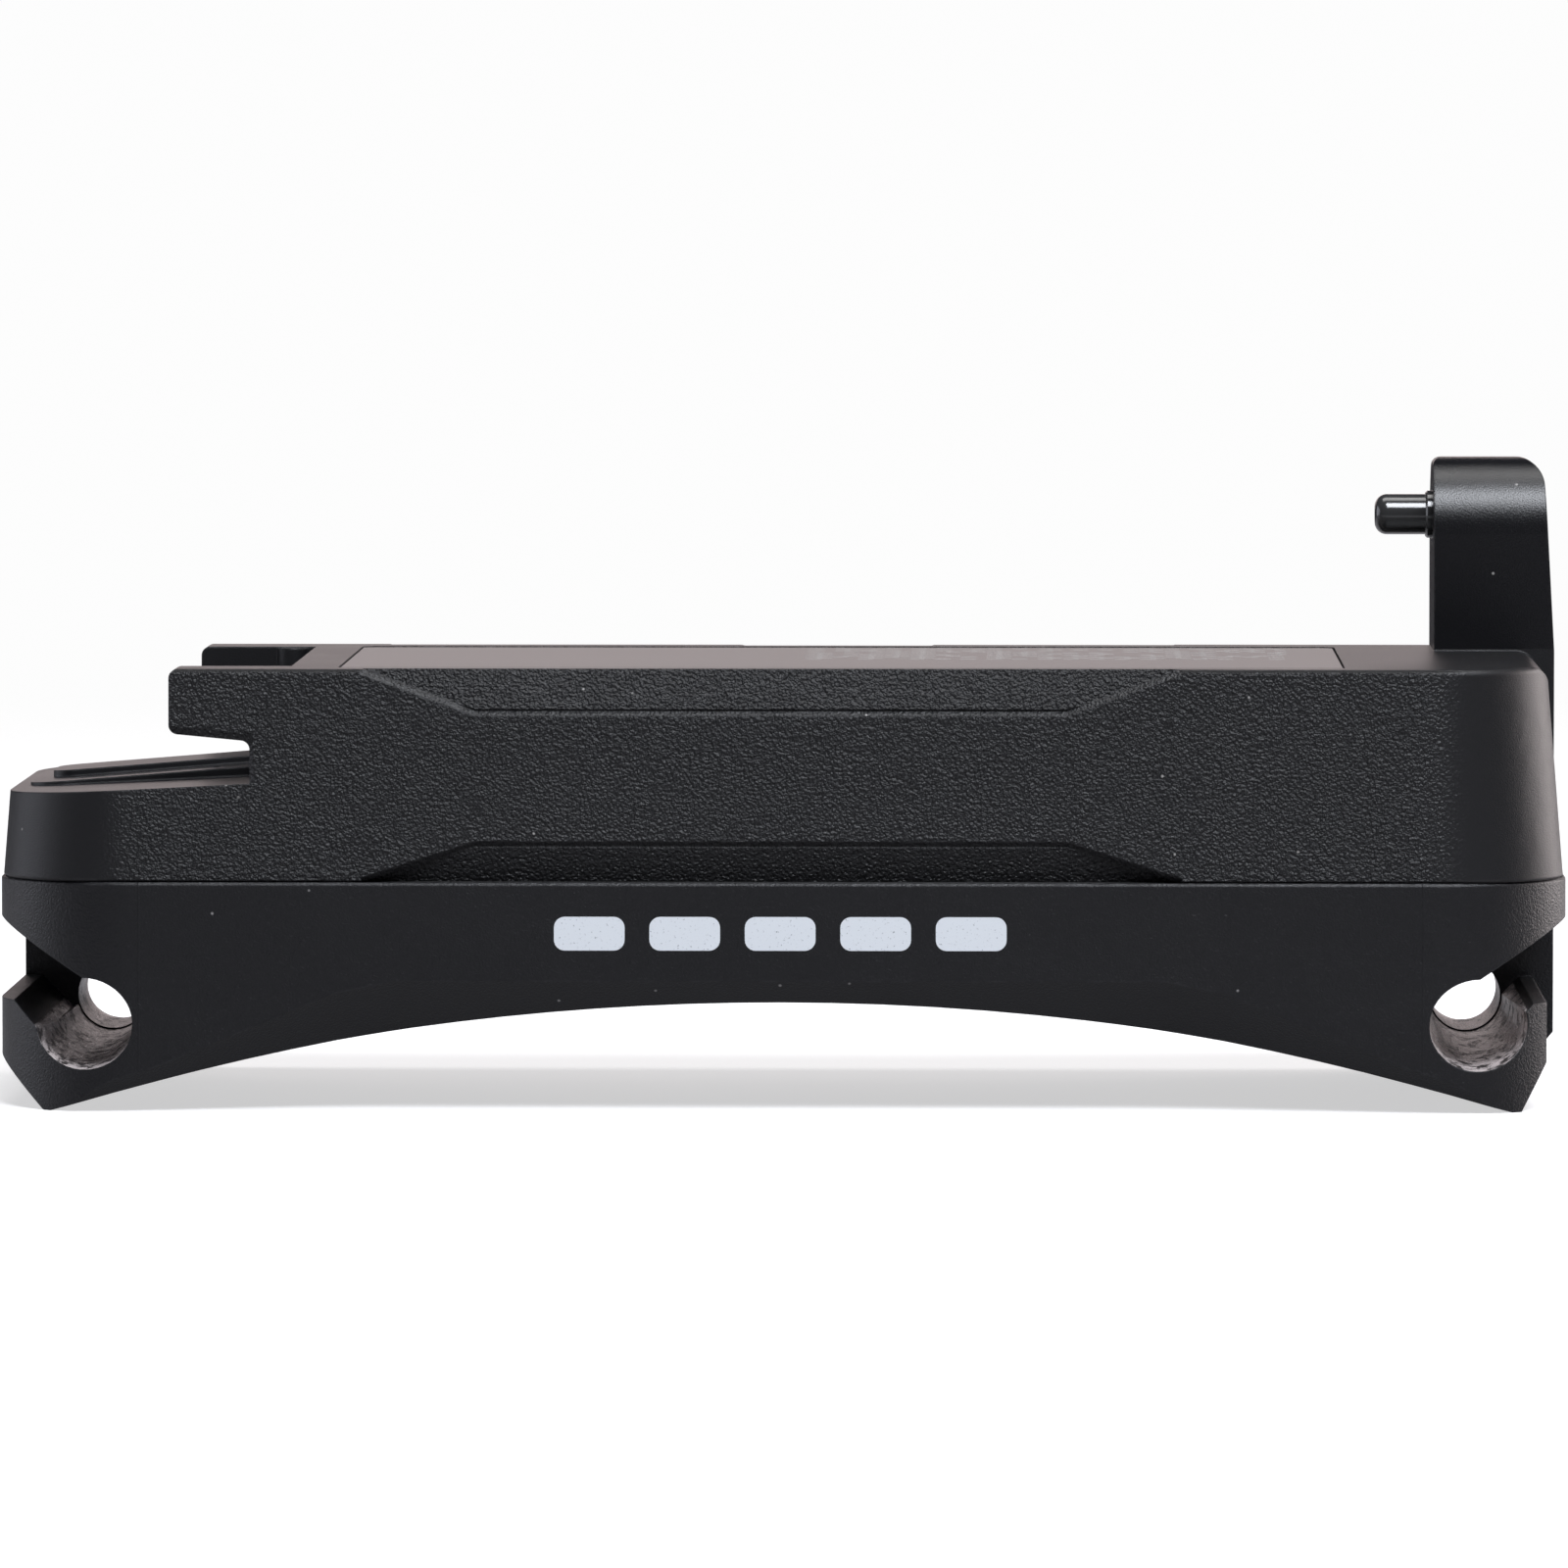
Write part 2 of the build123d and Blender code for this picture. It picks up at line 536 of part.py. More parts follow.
def plunger_bore():
    """The stepped bore through the head of the post."""
    bore = rod_x(BUSHING_R, POST_X - 1, CHAMBER_X + 1, POST_Y, PLUNGER_Z)
    return bore + rod_x(CHAMBER_R, CHAMBER_X, END_X + 1, POST_Y, PLUNGER_Z)


def end_face_cuts():
    """Recesses and holes for the port cover, charge socket, gauge button and light pipe."""
    half = COVER_WIDTH / 2 + MOVE_GAP
    low = HINGE_Z - KNUCKLE_R - MOVE_GAP
    high = HINGE_Z + COVER_RISE + MOVE_GAP
    cuts = box(RECESS_X, END_X + 2, -half, half, low, high)
    cuts += rod_x(1.6, RECESS_X + 0.4, END_X + 2, 0, high)
    slack = MOVE_GAP
    cuts += box(
        PORT_PAD_X - 2,
        RECESS_X + 1,
        -SOCKET_WIDTH / 2 - slack,
        SOCKET_WIDTH / 2 + slack,
        PORT_Z - SOCKET_HEIGHT / 2 - slack,
        PORT_Z + SOCKET_HEIGHT / 2 + slack,
    )
    reach = half + COVER_PIN_GRIP
    cuts += rod_y(COVER_PIN_R, -reach, reach, HINGE_X, HINGE_Z)
    cuts += rod_y(KNUCKLE_R + MOVE_GAP, -half, half, HINGE_X, HINGE_Z)
    cuts += rod_x(BUTTON_R + RUN_GAP, PORT_PAD_X - 2, END_X + 2, BUTTON_Y, BUTTON_Z)
    cuts += box(
        PORT_PAD_X - 2,
        END_X + 2,
        PIPE_Y - PIPE_WIDTH / 2,
        PIPE_Y + PIPE_WIDTH / 2,
        PIPE_Z - PIPE_HEIGHT / 2,
        PIPE_Z + PIPE_HEIGHT / 2,
    )
    return cuts


def upper_shell():
    """The outer half, with the fork, deck, label recess, latch post and end-face openings."""
    body = shell_loft(0, PARTING_Z, TOP_Z)
    body = fillet(body.faces().sort_by(Axis.Z)[-1].edges(), TOP_ROUND)
    body -= both_ends(end_round_cut()) + seam_cut()
    body -= fork_cuts()
    body += ramp()
    grip_y = UP_SIDE - SIDE_DRAFT - 2.2
    grip = rod_y(GRIP_LENGTH, grip_y, SIDE_Y + 1, GRIP_SHIFT, TOP_Z + GRIP_LENGTH - GRIP_SINK)
    grip_half = GRIP_LENGTH / 2
    body -= grip & box(GRIP_SHIFT - grip_half, GRIP_SHIFT + grip_half, 0, SIDE_Y, 0, TOP_Z + 1)
    body -= both_sides(panel_cut(TOP_Z, TOP_Z - TOP_PANEL_H))
    body -= both_sides(panel_cut(PARTING_Z, PARTING_Z + LOW_PANEL_H))
    room = shell_loft(WALL, PARTING_Z, TOP_Z)
    main = room & box(CAVITY_X0, END_X, -SIDE_Y, SIDE_Y, PARTING_Z - 1, TOP_Z - TOP_WALL)
    under = room & side_prism(
        [
            (-END_X, PARTING_Z - 1),
            (CAVITY_X0, PARTING_Z - 1),
            (CAVITY_X0, deck_z(CAVITY_X0) - WALL),
            (-END_X, deck_z(-END_X) - WALL),
        ],
        -SIDE_Y,
        SIDE_Y,
    )
    body -= main + under
    skin = shell_loft(0.4, PARTING_Z, TOP_Z)
    pad_z = TOP_Z - TOP_WALL
    body += skin & box(PORT_PAD_X, END_X, -DOCK_HALF + 3, DOCK_HALF - 3, PARTING_Z, pad_z)
    body += post_solid() - box(0, PORT_PAD_X, 0, SIDE_Y - WALL - 0.6, 0, pad_z)
    for x, y in CASE_SCREWS:
        top = deck_z(x) - WALL + 0.5 if x < 0 else pad_z
        body += rod_z(SCREW_R + BOSS_WALL, PARTING_Z - 2.0, top, x, y)
    for x, y in BOARD_SCREWS:
        body += rod_z(BOARD_SCREW_R + BOSS_WALL, BOARD_TOP_Z, pad_z, x, y)
    for x, y in CASE_SCREWS:
        body -= rod_z(SCREW_R, PARTING_Z - 3, min(SCREW_TOP_Z, 18.0), x, y)
    for x, y in BOARD_SCREWS:
        body -= rod_z(BOARD_SCREW_R, BOARD_TOP_Z - 1, BOARD_TOP_Z + BOARD_SCREW_LENGTH, x, y)
    body -= plunger_bore()
    body -= end_face_cuts()
    body -= label_block(LABEL_SINK, 0)
    body -= contact_opening(0)
    for side in (-1, 1):
        bump = rod_z(DETENT, DECK_IN_Z - 0.3, TOP_Z - 0.1, DOCK_X - 1.6, side * (DOCK_HALF + 0.35 * DETENT))
        body += bump
    return body


def label_block(depth, gap):
    """The label's place in the top face, to a depth, smaller by a gap all round."""
    half_x = LABEL_LENGTH / 2 - gap
    half_y = LABEL_WIDTH / 2 - gap
    over = 0.2 if gap == 0 else 0
    block = plate(half_x, half_y, 1.0, TOP_Z - LABEL_SINK, TOP_Z - LABEL_SINK + depth + over)
    return Pos(LABEL_SHIFT_X, LABEL_SHIFT_Y, 0) * block


# ---- contacts in the dock ----------------------------------------------------------------------------


def contact_opening(gap):
    """The hole in the dock's end wall, smaller by a gap."""
    half = CONTACT_WIDTH / 2 - gap
    tall = CONTACT_HEIGHT / 2 - gap
    return box(DOCK_X - 0.1, CAVITY_X0 + 0.1, -half, half, CONTACT_Z - tall, CONTACT_Z + tall)


def contact_block():
    """The insulating block in the dock's end wall, with a slot for each contact."""
    tall = CONTACT_HEIGHT / 2
    half = CONTACT_WIDTH / 2
    block = box(DOCK_X - 0.5, CAVITY_X0, -half, half, CONTACT_Z - tall, CONTACT_Z + tall)
    block = fillet(block.edges().group_by(Axis.X)[0], 0.3)
    return block - output_contacts()


def output_contacts():
    """Three plated blades, proud of the block toward the lamp."""
    blades = []
    for i in (-1, 0, 1):
        y = i * CONTACT_PITCH
        half = CONTACT_BLADE_W / 2
        blade = box(DOCK_X - 0.75, CAVITY_X0 + 0.1, y - half, y + half, CONTACT_Z - 1.0, CONTACT_Z + 1.0)
        blades.append(blade)
    return Compound(blades)


# ---- cells -------------------------------------------------------------------------------------------
def cell(side):
    """One cylindrical cell, with its positive cap at the post end on the near side, else at the fork."""
    y = side * CELL_Y
    x0, x1 = CELL_X0 + TAB_THICK, CELL_X1 - TAB_THICK
    body = rod_x(CELL_R, x0 + 1.0, x1 - 1.0, y, CELL_Z)
    body = fillet(body.edges().filter_by(GeomType.CIRCLE), 0.6)
    cap = rod_x(3.0, x1 - 1.5, x1, y, CELL_Z) if side > 0 else rod_x(3.0, x0, x0 + 1.5, y, CELL_Z)
    base = rod_x(6.0, x0, x0 + 1.5, y, CELL_Z) if side > 0 else rod_x(6.0, x1 - 1.5, x1, y, CELL_Z)
    return body + cap + base


def holder(face_x, way):
    """A cup for one end of both cells. Way points from its plate toward the cells."""
    back = face_x - way * HOLDER_BACK
    lip = face_x + way * HOLDER_CUP
    body = box(min(back, lip), max(back, lip), -HOLDER_HALF, HOLDER_HALF, HOLDER_BOTTOM_Z, HOLDER_TOP_Z)
    body = fillet(body.edges().filter_by(Axis.X), 2.5)
    for side in (-1, 1):
        body -= rod_x(CELL_R, min(face_x, lip + way), max(face_x, lip + way), side * CELL_Y, CELL_Z)
        ends = sorted([back - way, lip])
        body -= rod_x(TAB_WIDTH / 2 + 0.4, ends[0], ends[1], side * CELL_Y, CELL_Z)
    half = TAB_WIDTH / 2
    strip_x = face_x + way * TAB_THICK
    low_x = min(face_x, strip_x)
    high_x = max(face_x, strip_x)
    strip_room = box(low_x, high_x, -CELL_Y, CELL_Y, CELL_Z - half, CELL_Z + half)
    lead_room = box(-END_X, END_X, -6.4, 6.4, CELL_Z + CELL_R - 2.2, TOP_Z)
    return body - strip_room - lead_room


def holder_left():
    """The cup at the fork end."""
    return holder(CELL_X0, 1)


def holder_right():
    """The cup at the board end."""
    return holder(CELL_X1, -1)


def series_link():
    """The nickel strip that joins the two cells at the fork end."""
    half = TAB_WIDTH / 2
    return box(CELL_X0, CELL_X0 + TAB_THICK, -CELL_Y - half, CELL_Y + half, CELL_Z - half, CELL_Z + half)


def end_tab(side):
    """The nickel strip on one cell at the board end, bent toward the board."""
    half = TAB_WIDTH / 2
    y = side * CELL_Y
    lay = TAB_WIDTH / 2
    strip = box(CELL_X1 - TAB_THICK, CELL_X1, y - half, y + half, CELL_Z - half, CELL_Z + half)
    tongue_z = CELL_Z - half
    out = CELL_X1 + HOLDER_BACK + 1.2
    strip += box(CELL_X1 - TAB_THICK, out, y - lay / 2, y + lay / 2, tongue_z, tongue_z + TAB_THICK)
    return strip


def foam_pad():
    """The foam strip that presses the cells down."""
    x0 = CELL_X0 + HOLDER_CUP + 1
    x1 = CELL_X1 - HOLDER_CUP - 1
    top = TOP_Z - TOP_WALL
    bottom = CELL_Z + CELL_R
    pads = box(x0, x1, -CELL_Y - 3, -CELL_Y + 3, bottom, top)
    return Compound([pads, box(x0, x1, CELL_Y - 3, CELL_Y + 3, bottom, top)])


# ---- board and what it carries -----------------------------------------------------------------------
def circuit_board():
    """The charge and protection board, hung from two bosses."""
    half = BOARD_WIDTH / 2
    low = BOARD_TOP_Z - BOARD_THICK
    board = box(BOARD_X0, BOARD_X1, -half, half, low, BOARD_TOP_Z)
    board = fillet(board.edges().filter_by(Axis.Z), 0.8)
    for x, y in BOARD_SCREWS:
        board -= rod_z(BOARD_SCREW_R + 0.15, low - 1, BOARD_TOP_Z + 1, x, y)
    return board


def board_components():
    """The larger parts on the board: controller, coil, capacitors and lamps of the gauge."""
    top = BOARD_TOP_Z
    low = BOARD_TOP_Z - BOARD_THICK
    chip_x = BOARD_SCREW_X + 0.4
    parts = [box(chip_x - 1.8, chip_x + 1.8, -2.6, 2.6, top, top + 1.0)]
    coil = box(chip_x + 0.2, chip_x + 4.4, 1.2, 5.4, low - 2.2, low)
    parts.append(fillet(coil.edges().filter_by(Axis.Z), 0.7))
    for i in range(3):
        x = BOARD_X0 + 1.6 + 2.4 * i
        parts.append(box(x, x + 1.0, -5.2, -3.2, low - 0.9, low))
    lamps = box(BOARD_X1 - 2.8, BOARD_X1 - 1.6, PIPE_Y - 0.6, PIPE_Y + 0.6, top, top + PIPE_HEIGHT)
    for i in range(4):
        z = PIPE_Z + 1.2 * (i - 1.5)
        lamps += box(BOARD_X1 - 1.7, BOARD_X1 - 0.6, PIPE_Y - 0.4, PIPE_Y + 0.4, z - 0.4, z + 0.4)
    return Compound(parts + [lamps])


def charge_socket():
    """The metal shell of the charge socket with its tongue."""
    half, tall = SOCKET_WIDTH / 2, SOCKET_HEIGHT / 2
    x0, x1 = RECESS_X - SOCKET_LENGTH, RECESS_X - 0.1
    shell = box(x0, x1, -half, half, PORT_Z - tall, PORT_Z + tall)
    shell = fillet(shell.edges().filter_by(Axis.X), 0.9)
    wide = half - SOCKET_SHELL
    high = tall - SOCKET_SHELL
    inner = box(x0 + 1.0, x1 + 1, -wide, wide, PORT_Z - high, PORT_Z + high)
    shell -= fillet(inner.edges().filter_by(Axis.X), 0.6)
    return shell


def socket_tongue():
    """The insulating tongue inside the socket."""
    return box(RECESS_X - SOCKET_LENGTH + 1.0, RECESS_X - 0.8, -2.4, 2.4, PORT_Z - 0.35, PORT_Z + 0.35)


def gauge_switch():
    """The push switch behind the gauge button."""
    x1 = button_back_x() - BUTTON_TRAVEL - 0.2
    body = box(x1 - 2.6, x1, BUTTON_Y - 1.7, BUTTON_Y + 1.7, BOARD_TOP_Z, BOARD_TOP_Z + 4.2)
    return fillet(body.edges().filter_by(Axis.X), 0.3)


def button_back_x():
    """The inner face of the gauge button's flange."""
    return PORT_PAD_X - 0.9


def gauge_button():
    """The cap of the gauge button, with the flange that keeps it in."""
    face = COVER_FACE_X - 0.25
    cap = rod_x(BUTTON_R, PORT_PAD_X - 0.5, face, BUTTON_Y, BUTTON_Z)
    cap = fillet(cap.edges().filter_by(GeomType.CIRCLE).group_by(Axis.X)[-1], 0.3)
    return cap + rod_x(BUTTON_R + 0.5, button_back_x(), PORT_PAD_X - 0.02, BUTTON_Y, BUTTON_Z)


def light_pipe():
    """The clear bar that shows the gauge lamps in the end face."""
    half, tall = PIPE_WIDTH / 2, PIPE_HEIGHT / 2
    x0 = PORT_PAD_X - 0.2
    return box(x0, COVER_FACE_X - 0.1, PIPE_Y - half, PIPE_Y + half, PIPE_Z - tall, PIPE_Z + tall)


def port_cover():
    """The flap over the charge port, with its hinge knuckle along the lower edge."""
    half = COVER_WIDTH / 2
    flap = box(COVER_FACE_X - COVER_THICK, COVER_FACE_X, -half, half, HINGE_Z, HINGE_Z + COVER_RISE)
    flap = fillet(flap.edges().filter_by(Axis.X).group_by(Axis.Z)[-1], 1.2)
    flap += rod_y(KNUCKLE_R, -half, half, HINGE_X, HINGE_Z)
    return flap - rod_y(COVER_PIN_R + RUN_GAP, -half - 1, half + 1, HINGE_X, HINGE_Z)


def port_cover_pin():
    """The steel pin of the flap's hinge, pressed into the case."""
    reach = COVER_WIDTH / 2 + MOVE_GAP + COVER_PIN_GRIP
    return rod_y(COVER_PIN_R, -reach, reach, HINGE_X, HINGE_Z)


# ---- latch plunger -----------------------------------------------------------------------------------
def plunger():
    """The sprung pin that locks the lamp's half onto the pack."""
    step_x = POST_X - PLUNGER_STEP
    nose = rod_x(PLUNGER_R, POST_X - PLUNGER_OUT, step_x + 0.5, POST_Y, PLUNGER_Z)
    nose = fillet(nose.edges().filter_by(GeomType.CIRCLE).group_by(Axis.X)[0], NOSE_ROUND)
    shaft = rod_x(PLUNGER_SHAFT_R, step_x, FLANGE_X + 0.5, POST_Y, PLUNGER_Z)
    shaft = chamfer(shaft.edges().filter_by(GeomType.CIRCLE).group_by(Axis.X)[0], 0.12)
    return nose + shaft + rod_x(FLANGE_R, FLANGE_X, FLANGE_X + FLANGE_LENGTH, POST_Y, PLUNGER_Z)


def plunger_bushing():
    """The bush pressed into the post, which guides the plunger."""
    sleeve = rod_x(BUSHING_R, POST_X, CHAMBER_X, POST_Y, PLUNGER_Z)
    return sleeve - rod_x(PLUNGER_SHAFT_R + RUN_GAP, POST_X - 2, CHAMBER_X + 1, POST_Y, PLUNGER_Z)


def plunger_spring():
    """The spring between the plunger's flange and the plug."""
    x0 = FLANGE_X + FLANGE_LENGTH
    length = PLUG_X - x0
    radius = FLANGE_R - 3 * SPRING_WIRE_R
    run = length - 2 * SPRING_WIRE_R
    path = Helix(pitch=run / SPRING_TURNS, height=run, radius=radius)
    coil = sweep(Plane(path @ 0, z_dir=path % 0) * Circle(SPRING_WIRE_R), path, is_frenet=True)
    return Pos(x0 + SPRING_WIRE_R, POST_Y, PLUNGER_Z) * Rot(0, 90, 0) * coil


def plunger_plug():
    """The cap pressed into the outer end of the plunger's chamber."""
    plug = rod_x(CHAMBER_R, PLUG_X, PLUG_X + PLUG_LENGTH, POST_Y, PLUNGER_Z)
    slot_x = PLUG_X + PLUG_LENGTH - 0.4
    return plug - box(slot_x, END_X, POST_Y - 1.5, POST_Y + 1.5, PLUNGER_Z - 0.3, PLUNGER_Z + 0.3)


# ---- fasteners and leads -----------------------------------------------------------------------------
def case_screws():
    """Four screws from the underside into the upper shell."""
    screws = []
    for x, y in CASE_SCREWS:
        screw = rod_z(SCREW_R, SCREW_SEAT_Z - 0.5, SCREW_SEAT_Z + SCREW_LENGTH, x, y)
        screw += rod_z(SCREW_HEAD_R, SCREW_SEAT_Z - SCREW_HEAD_H, SCREW_SEAT_Z, x, y)
        for turn in (0, 90):
            slot = Box(2.2, 0.5, 0.7)
            screw -= Pos(x, y, SCREW_SEAT_Z - SCREW_HEAD_H) * Rot(0, 0, turn) * slot
        screws.append(screw)
    return Compound(screws)


def board_screws():
    """Two screws that hang the board from its bosses."""
    low = BOARD_TOP_Z - BOARD_THICK
    screws = []
    for x, y in BOARD_SCREWS:
        screw = rod_z(BOARD_SCREW_R, low - 0.5, low + BOARD_SCREW_LENGTH, x, y)
        screws.append(screw + rod_z(BOARD_SCREW_HEAD_R, low - 0.9, low, x, y))
    return Compound(screws)


def lead(side):
    """A wire from a dock contact to the board, in the valley over the two cells."""
    y = side * 0.75
    z = CELL_Z + CELL_R - 0.9
    start = CAVITY_X0 + 0.1
    end_y = side * 5.6
    points = [
        (start, side * CONTACT_PITCH, CONTACT_Z),
        (start + 0.9, side * CONTACT_PITCH, CONTACT_Z),
        (CELL_X0 + HOLDER_CUP - 1, y, z),
        (CELL_X1 + 0.5, y, z),
        (BOARD_X0 + 1.0, end_y, z - 0.5),
        (BOARD_X0 + 1.0, end_y, BOARD_TOP_Z),
    ]
    path = FilletPolyline(*points, radius=0.9)
    return sweep(Plane(path @ 0, z_dir=path % 0) * Circle(0.5), path)


def shell_gasket():
    """The soft bead in the parting line."""
    return gasket_ring(-0.03, GASKET)


def label_plate():
    """The plate in the top recess, left blank."""
    return label_block(LABEL_THICK, LABEL_GAP)


PARTS = {
    "lower_shell": lower_shell,
    "upper_shell": upper_shell,
    "shell_gasket": shell_gasket,
    "label_plate": label_plate,
    "cell_near": lambda: cell(-1),
    "cell_far": lambda: cell(1),
    "cell_holder_left": holder_left,
    "cell_holder_right": holder_right,
    "series_link": series_link,
    "tab_near": lambda: end_tab(-1),
    "tab_far": lambda: end_tab(1),
    "foam_pads": foam_pad,
    "circuit_board": circuit_board,
    "board_components": board_components,
    "charge_socket": charge_socket,
    "socket_tongue": socket_tongue,
    "gauge_switch": gauge_switch,
    "gauge_button": gauge_button,
    "light_pipe": light_pipe,
    "port_cover": port_cover,
    "port_cover_pin": port_cover_pin,
    "contact_block": contact_block,
    "output_contacts": output_contacts,
    "plunger": plunger,
    "plunger_bushing": plunger_bushing,
    "plunger_spring": plunger_spring,
    "plunger_plug": plunger_plug,
    "case_screws": case_screws,
    "board_screws": board_screws,
    "lead_near": lambda: lead(-1),
    "lead_far": lambda: lead(1),
}

os.makedirs("parts", exist_ok=True)
for name, make in PARTS.items():
    shape = make()
    export_step(shape, f"parts/{name}.step")
    print(f"{name}: {shape.volume:.1f} mm3")
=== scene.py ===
# %% [markdown]
# This scene finishes the rear battery pack of a headlamp: two black moulded shells, a latch post with
# a sprung pin, and the cells and board inside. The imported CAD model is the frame. Every shape with a
# size stays there, and this script gives each node its finish, replaces the screws with threaded
# ones, prints the marks, and sets the studio.
# %% Load the frame
import bmesh
import bpy
import json
import math
from mathutils import Matrix, Vector


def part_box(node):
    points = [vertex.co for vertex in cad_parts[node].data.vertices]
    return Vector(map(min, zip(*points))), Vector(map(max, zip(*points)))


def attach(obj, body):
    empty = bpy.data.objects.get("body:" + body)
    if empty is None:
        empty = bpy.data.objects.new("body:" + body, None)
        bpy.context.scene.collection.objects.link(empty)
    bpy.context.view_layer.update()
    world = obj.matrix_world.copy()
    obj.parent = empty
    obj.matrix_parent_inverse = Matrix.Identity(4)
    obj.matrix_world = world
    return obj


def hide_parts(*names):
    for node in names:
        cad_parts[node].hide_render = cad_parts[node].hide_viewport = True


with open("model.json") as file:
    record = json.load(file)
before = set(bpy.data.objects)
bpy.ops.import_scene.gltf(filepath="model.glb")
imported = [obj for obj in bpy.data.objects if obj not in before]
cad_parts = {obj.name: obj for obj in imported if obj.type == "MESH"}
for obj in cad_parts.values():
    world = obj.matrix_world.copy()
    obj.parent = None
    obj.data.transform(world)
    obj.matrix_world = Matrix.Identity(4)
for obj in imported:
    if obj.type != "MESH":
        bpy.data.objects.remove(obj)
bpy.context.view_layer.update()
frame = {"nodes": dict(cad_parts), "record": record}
nodes = frame["nodes"]
MM = 0.001
SLOT_OF = {s["node"]: s["material_slot"] for s in frame["record"]["subparts"]}
BASE = {m["slot"]: tuple(m["base_color"][:3]) + (1.0,) for m in frame["record"]["materials"]}

# %% [markdown]
# Positions come from the frame, never from guesses: the seam is where the lower shell ends, the deck
# of the top is where the label plate lies, and the strap rods run through two mounts.
# %% Places read from the frame
MOUNT = {m["name"]: m for m in frame["record"]["mounts"]}
rod = Vector(MOUNT["strap_hole_right"]["pos_m"])
rod_r = MOUNT["strap_hole_right"]["dims"]["r_mm"] * MM
lower_low, lower_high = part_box("lower_shell")
label_low, label_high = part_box("label_plate")
post_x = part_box("plunger_bushing")[1].x - 2 * MM
side_y = lower_high.y
end_x = lower_high.x
seam_z = lower_high.z
top_z = label_high.z
corner_x = end_x - 9 * MM
print("seam", round(seam_z / MM, 2), "top", round(top_z / MM, 2), "rod axis", [round(v / MM, 2) for v in rod])


# %% [markdown]
# Node trees are easier to read when one short call adds a node and wires it. Values that are sockets
# become links, and anything else becomes the input's own value.
# %% Node helpers
def add(tree, kind, inputs=None, **settings):
    """A new node with its settings, and with each input set or linked."""
    node = tree.nodes.new(kind)
    for name, value in settings.items():
        setattr(node, name, value)
    for key, value in (inputs or {}).items():
        if isinstance(value, bpy.types.NodeSocket):
            tree.links.new(value, node.inputs[key])
        else:
            node.inputs[key].default_value = value
    return node


def calc(tree, operation, *values):
    """The output of a Math node."""
    return add(tree, "ShaderNodeMath", dict(enumerate(values)), operation=operation).outputs[0]


def ramp(tree, value, start, end, low=0.0, high=1.0):
    """A smooth step of a value from one range to another."""
    inputs = {"Value": value, "From Min": start, "From Max": end, "To Min": low, "To Max": high}
    return add(tree, "ShaderNodeMapRange", inputs, interpolation_type="SMOOTHSTEP").outputs[0]


def blend_value(tree, mask, low, high):
    """A number that goes from low to high with the mask."""
    return calc(tree, "ADD", low, calc(tree, "MULTIPLY", mask, high - low))


def blend_colour(tree, mask, one, other):
    """A colour that goes from one to the other with the mask."""
    node = add(tree, "ShaderNodeMix", {"Factor": mask}, data_type="RGBA")
    for key, value in ((6, one), (7, other)):
        if isinstance(value, bpy.types.NodeSocket):
            tree.links.new(value, node.inputs[key])
        else:
            node.inputs[key].default_value = value
    return node.outputs[2]


def new_group(name, inputs, outputs):
    """An empty shader group with float sockets, its input node and its output node."""
    tree = bpy.data.node_groups.new(name, "ShaderNodeTree")
    for key, value in inputs.items():
        socket = tree.interface.new_socket(name=key, in_out="INPUT", socket_type="NodeSocketFloat")
        socket.default_value = value
    for key in outputs:
        tree.interface.new_socket(name=key, in_out="OUTPUT", socket_type="NodeSocketFloat")
    return tree, tree.nodes.new("NodeGroupInput").outputs, tree.nodes.new("NodeGroupOutput").inputs


def use(tree, name, **values):
    """A group placed in a material with its own values. Returns its outputs."""
    node = tree.nodes.new("ShaderNodeGroup")
    node.node_tree = bpy.data.node_groups[name]
    for key, value in values.items():
        if isinstance(value, bpy.types.NodeSocket):
            tree.links.new(value, node.inputs[key])
        else:
            node.inputs[key].default_value = value
    return node.outputs


print("helpers ready")

# %% [markdown]
# The upper shell has the pebble that a mould gets from chemical etching: soft bumps about a fifth of
# a millimetre across that run into each other. Smooth Voronoi cells, pushed about by a little noise,
# give round bumps. A share of plain noise joins them up, and a finer noise breaks their tops.
# %% Group: pebble grain
tree, given, out = new_group("pebble_grain", {"Cell mm": 0.21, "Round": 0.4, "Fine": 0.3}, ["Height"])
place = add(tree, "ShaderNodeTexCoord").outputs["Object"]
density = calc(tree, "DIVIDE", 1000.0, given["Cell mm"])
push = add(tree, "ShaderNodeTexNoise", {"Vector": place, "Scale": density, "Detail": 2.0})
shift = add(tree, "ShaderNodeVectorMath", {0: push.outputs["Color"], "Scale": 0.00006}, operation="SCALE")
moved = add(tree, "ShaderNodeVectorMath", {0: place, 1: shift.outputs[0]}, operation="ADD")
cells = add(
    tree, "ShaderNodeTexVoronoi", {"Vector": moved.outputs[0], "Scale": density, "Smoothness": 0.25},
    feature="SMOOTH_F1")
rough = add(
    tree, "ShaderNodeTexNoise", {"Vector": place, "Scale": calc(tree, "MULTIPLY", density, 2.4), "Detail": 3.0})
bumps = calc(tree, "MULTIPLY", calc(tree, "SUBTRACT", 1.0, cells.outputs["Distance"]), given["Round"])
waves = add(tree, "ShaderNodeTexNoise", {"Vector": place, "Scale": density, "Detail": 1.0}).outputs[0]
joined = calc(tree, "MULTIPLY", waves, calc(tree, "SUBTRACT", 2.0, calc(tree, "MULTIPLY", given["Round"], 2.0)))
tops = calc(tree, "MULTIPLY", rough.outputs[0], given["Fine"])
tree.links.new(calc(tree, "ADD", calc(tree, "ADD", bumps, joined), tops), out["Height"])
print("group", tree.name)

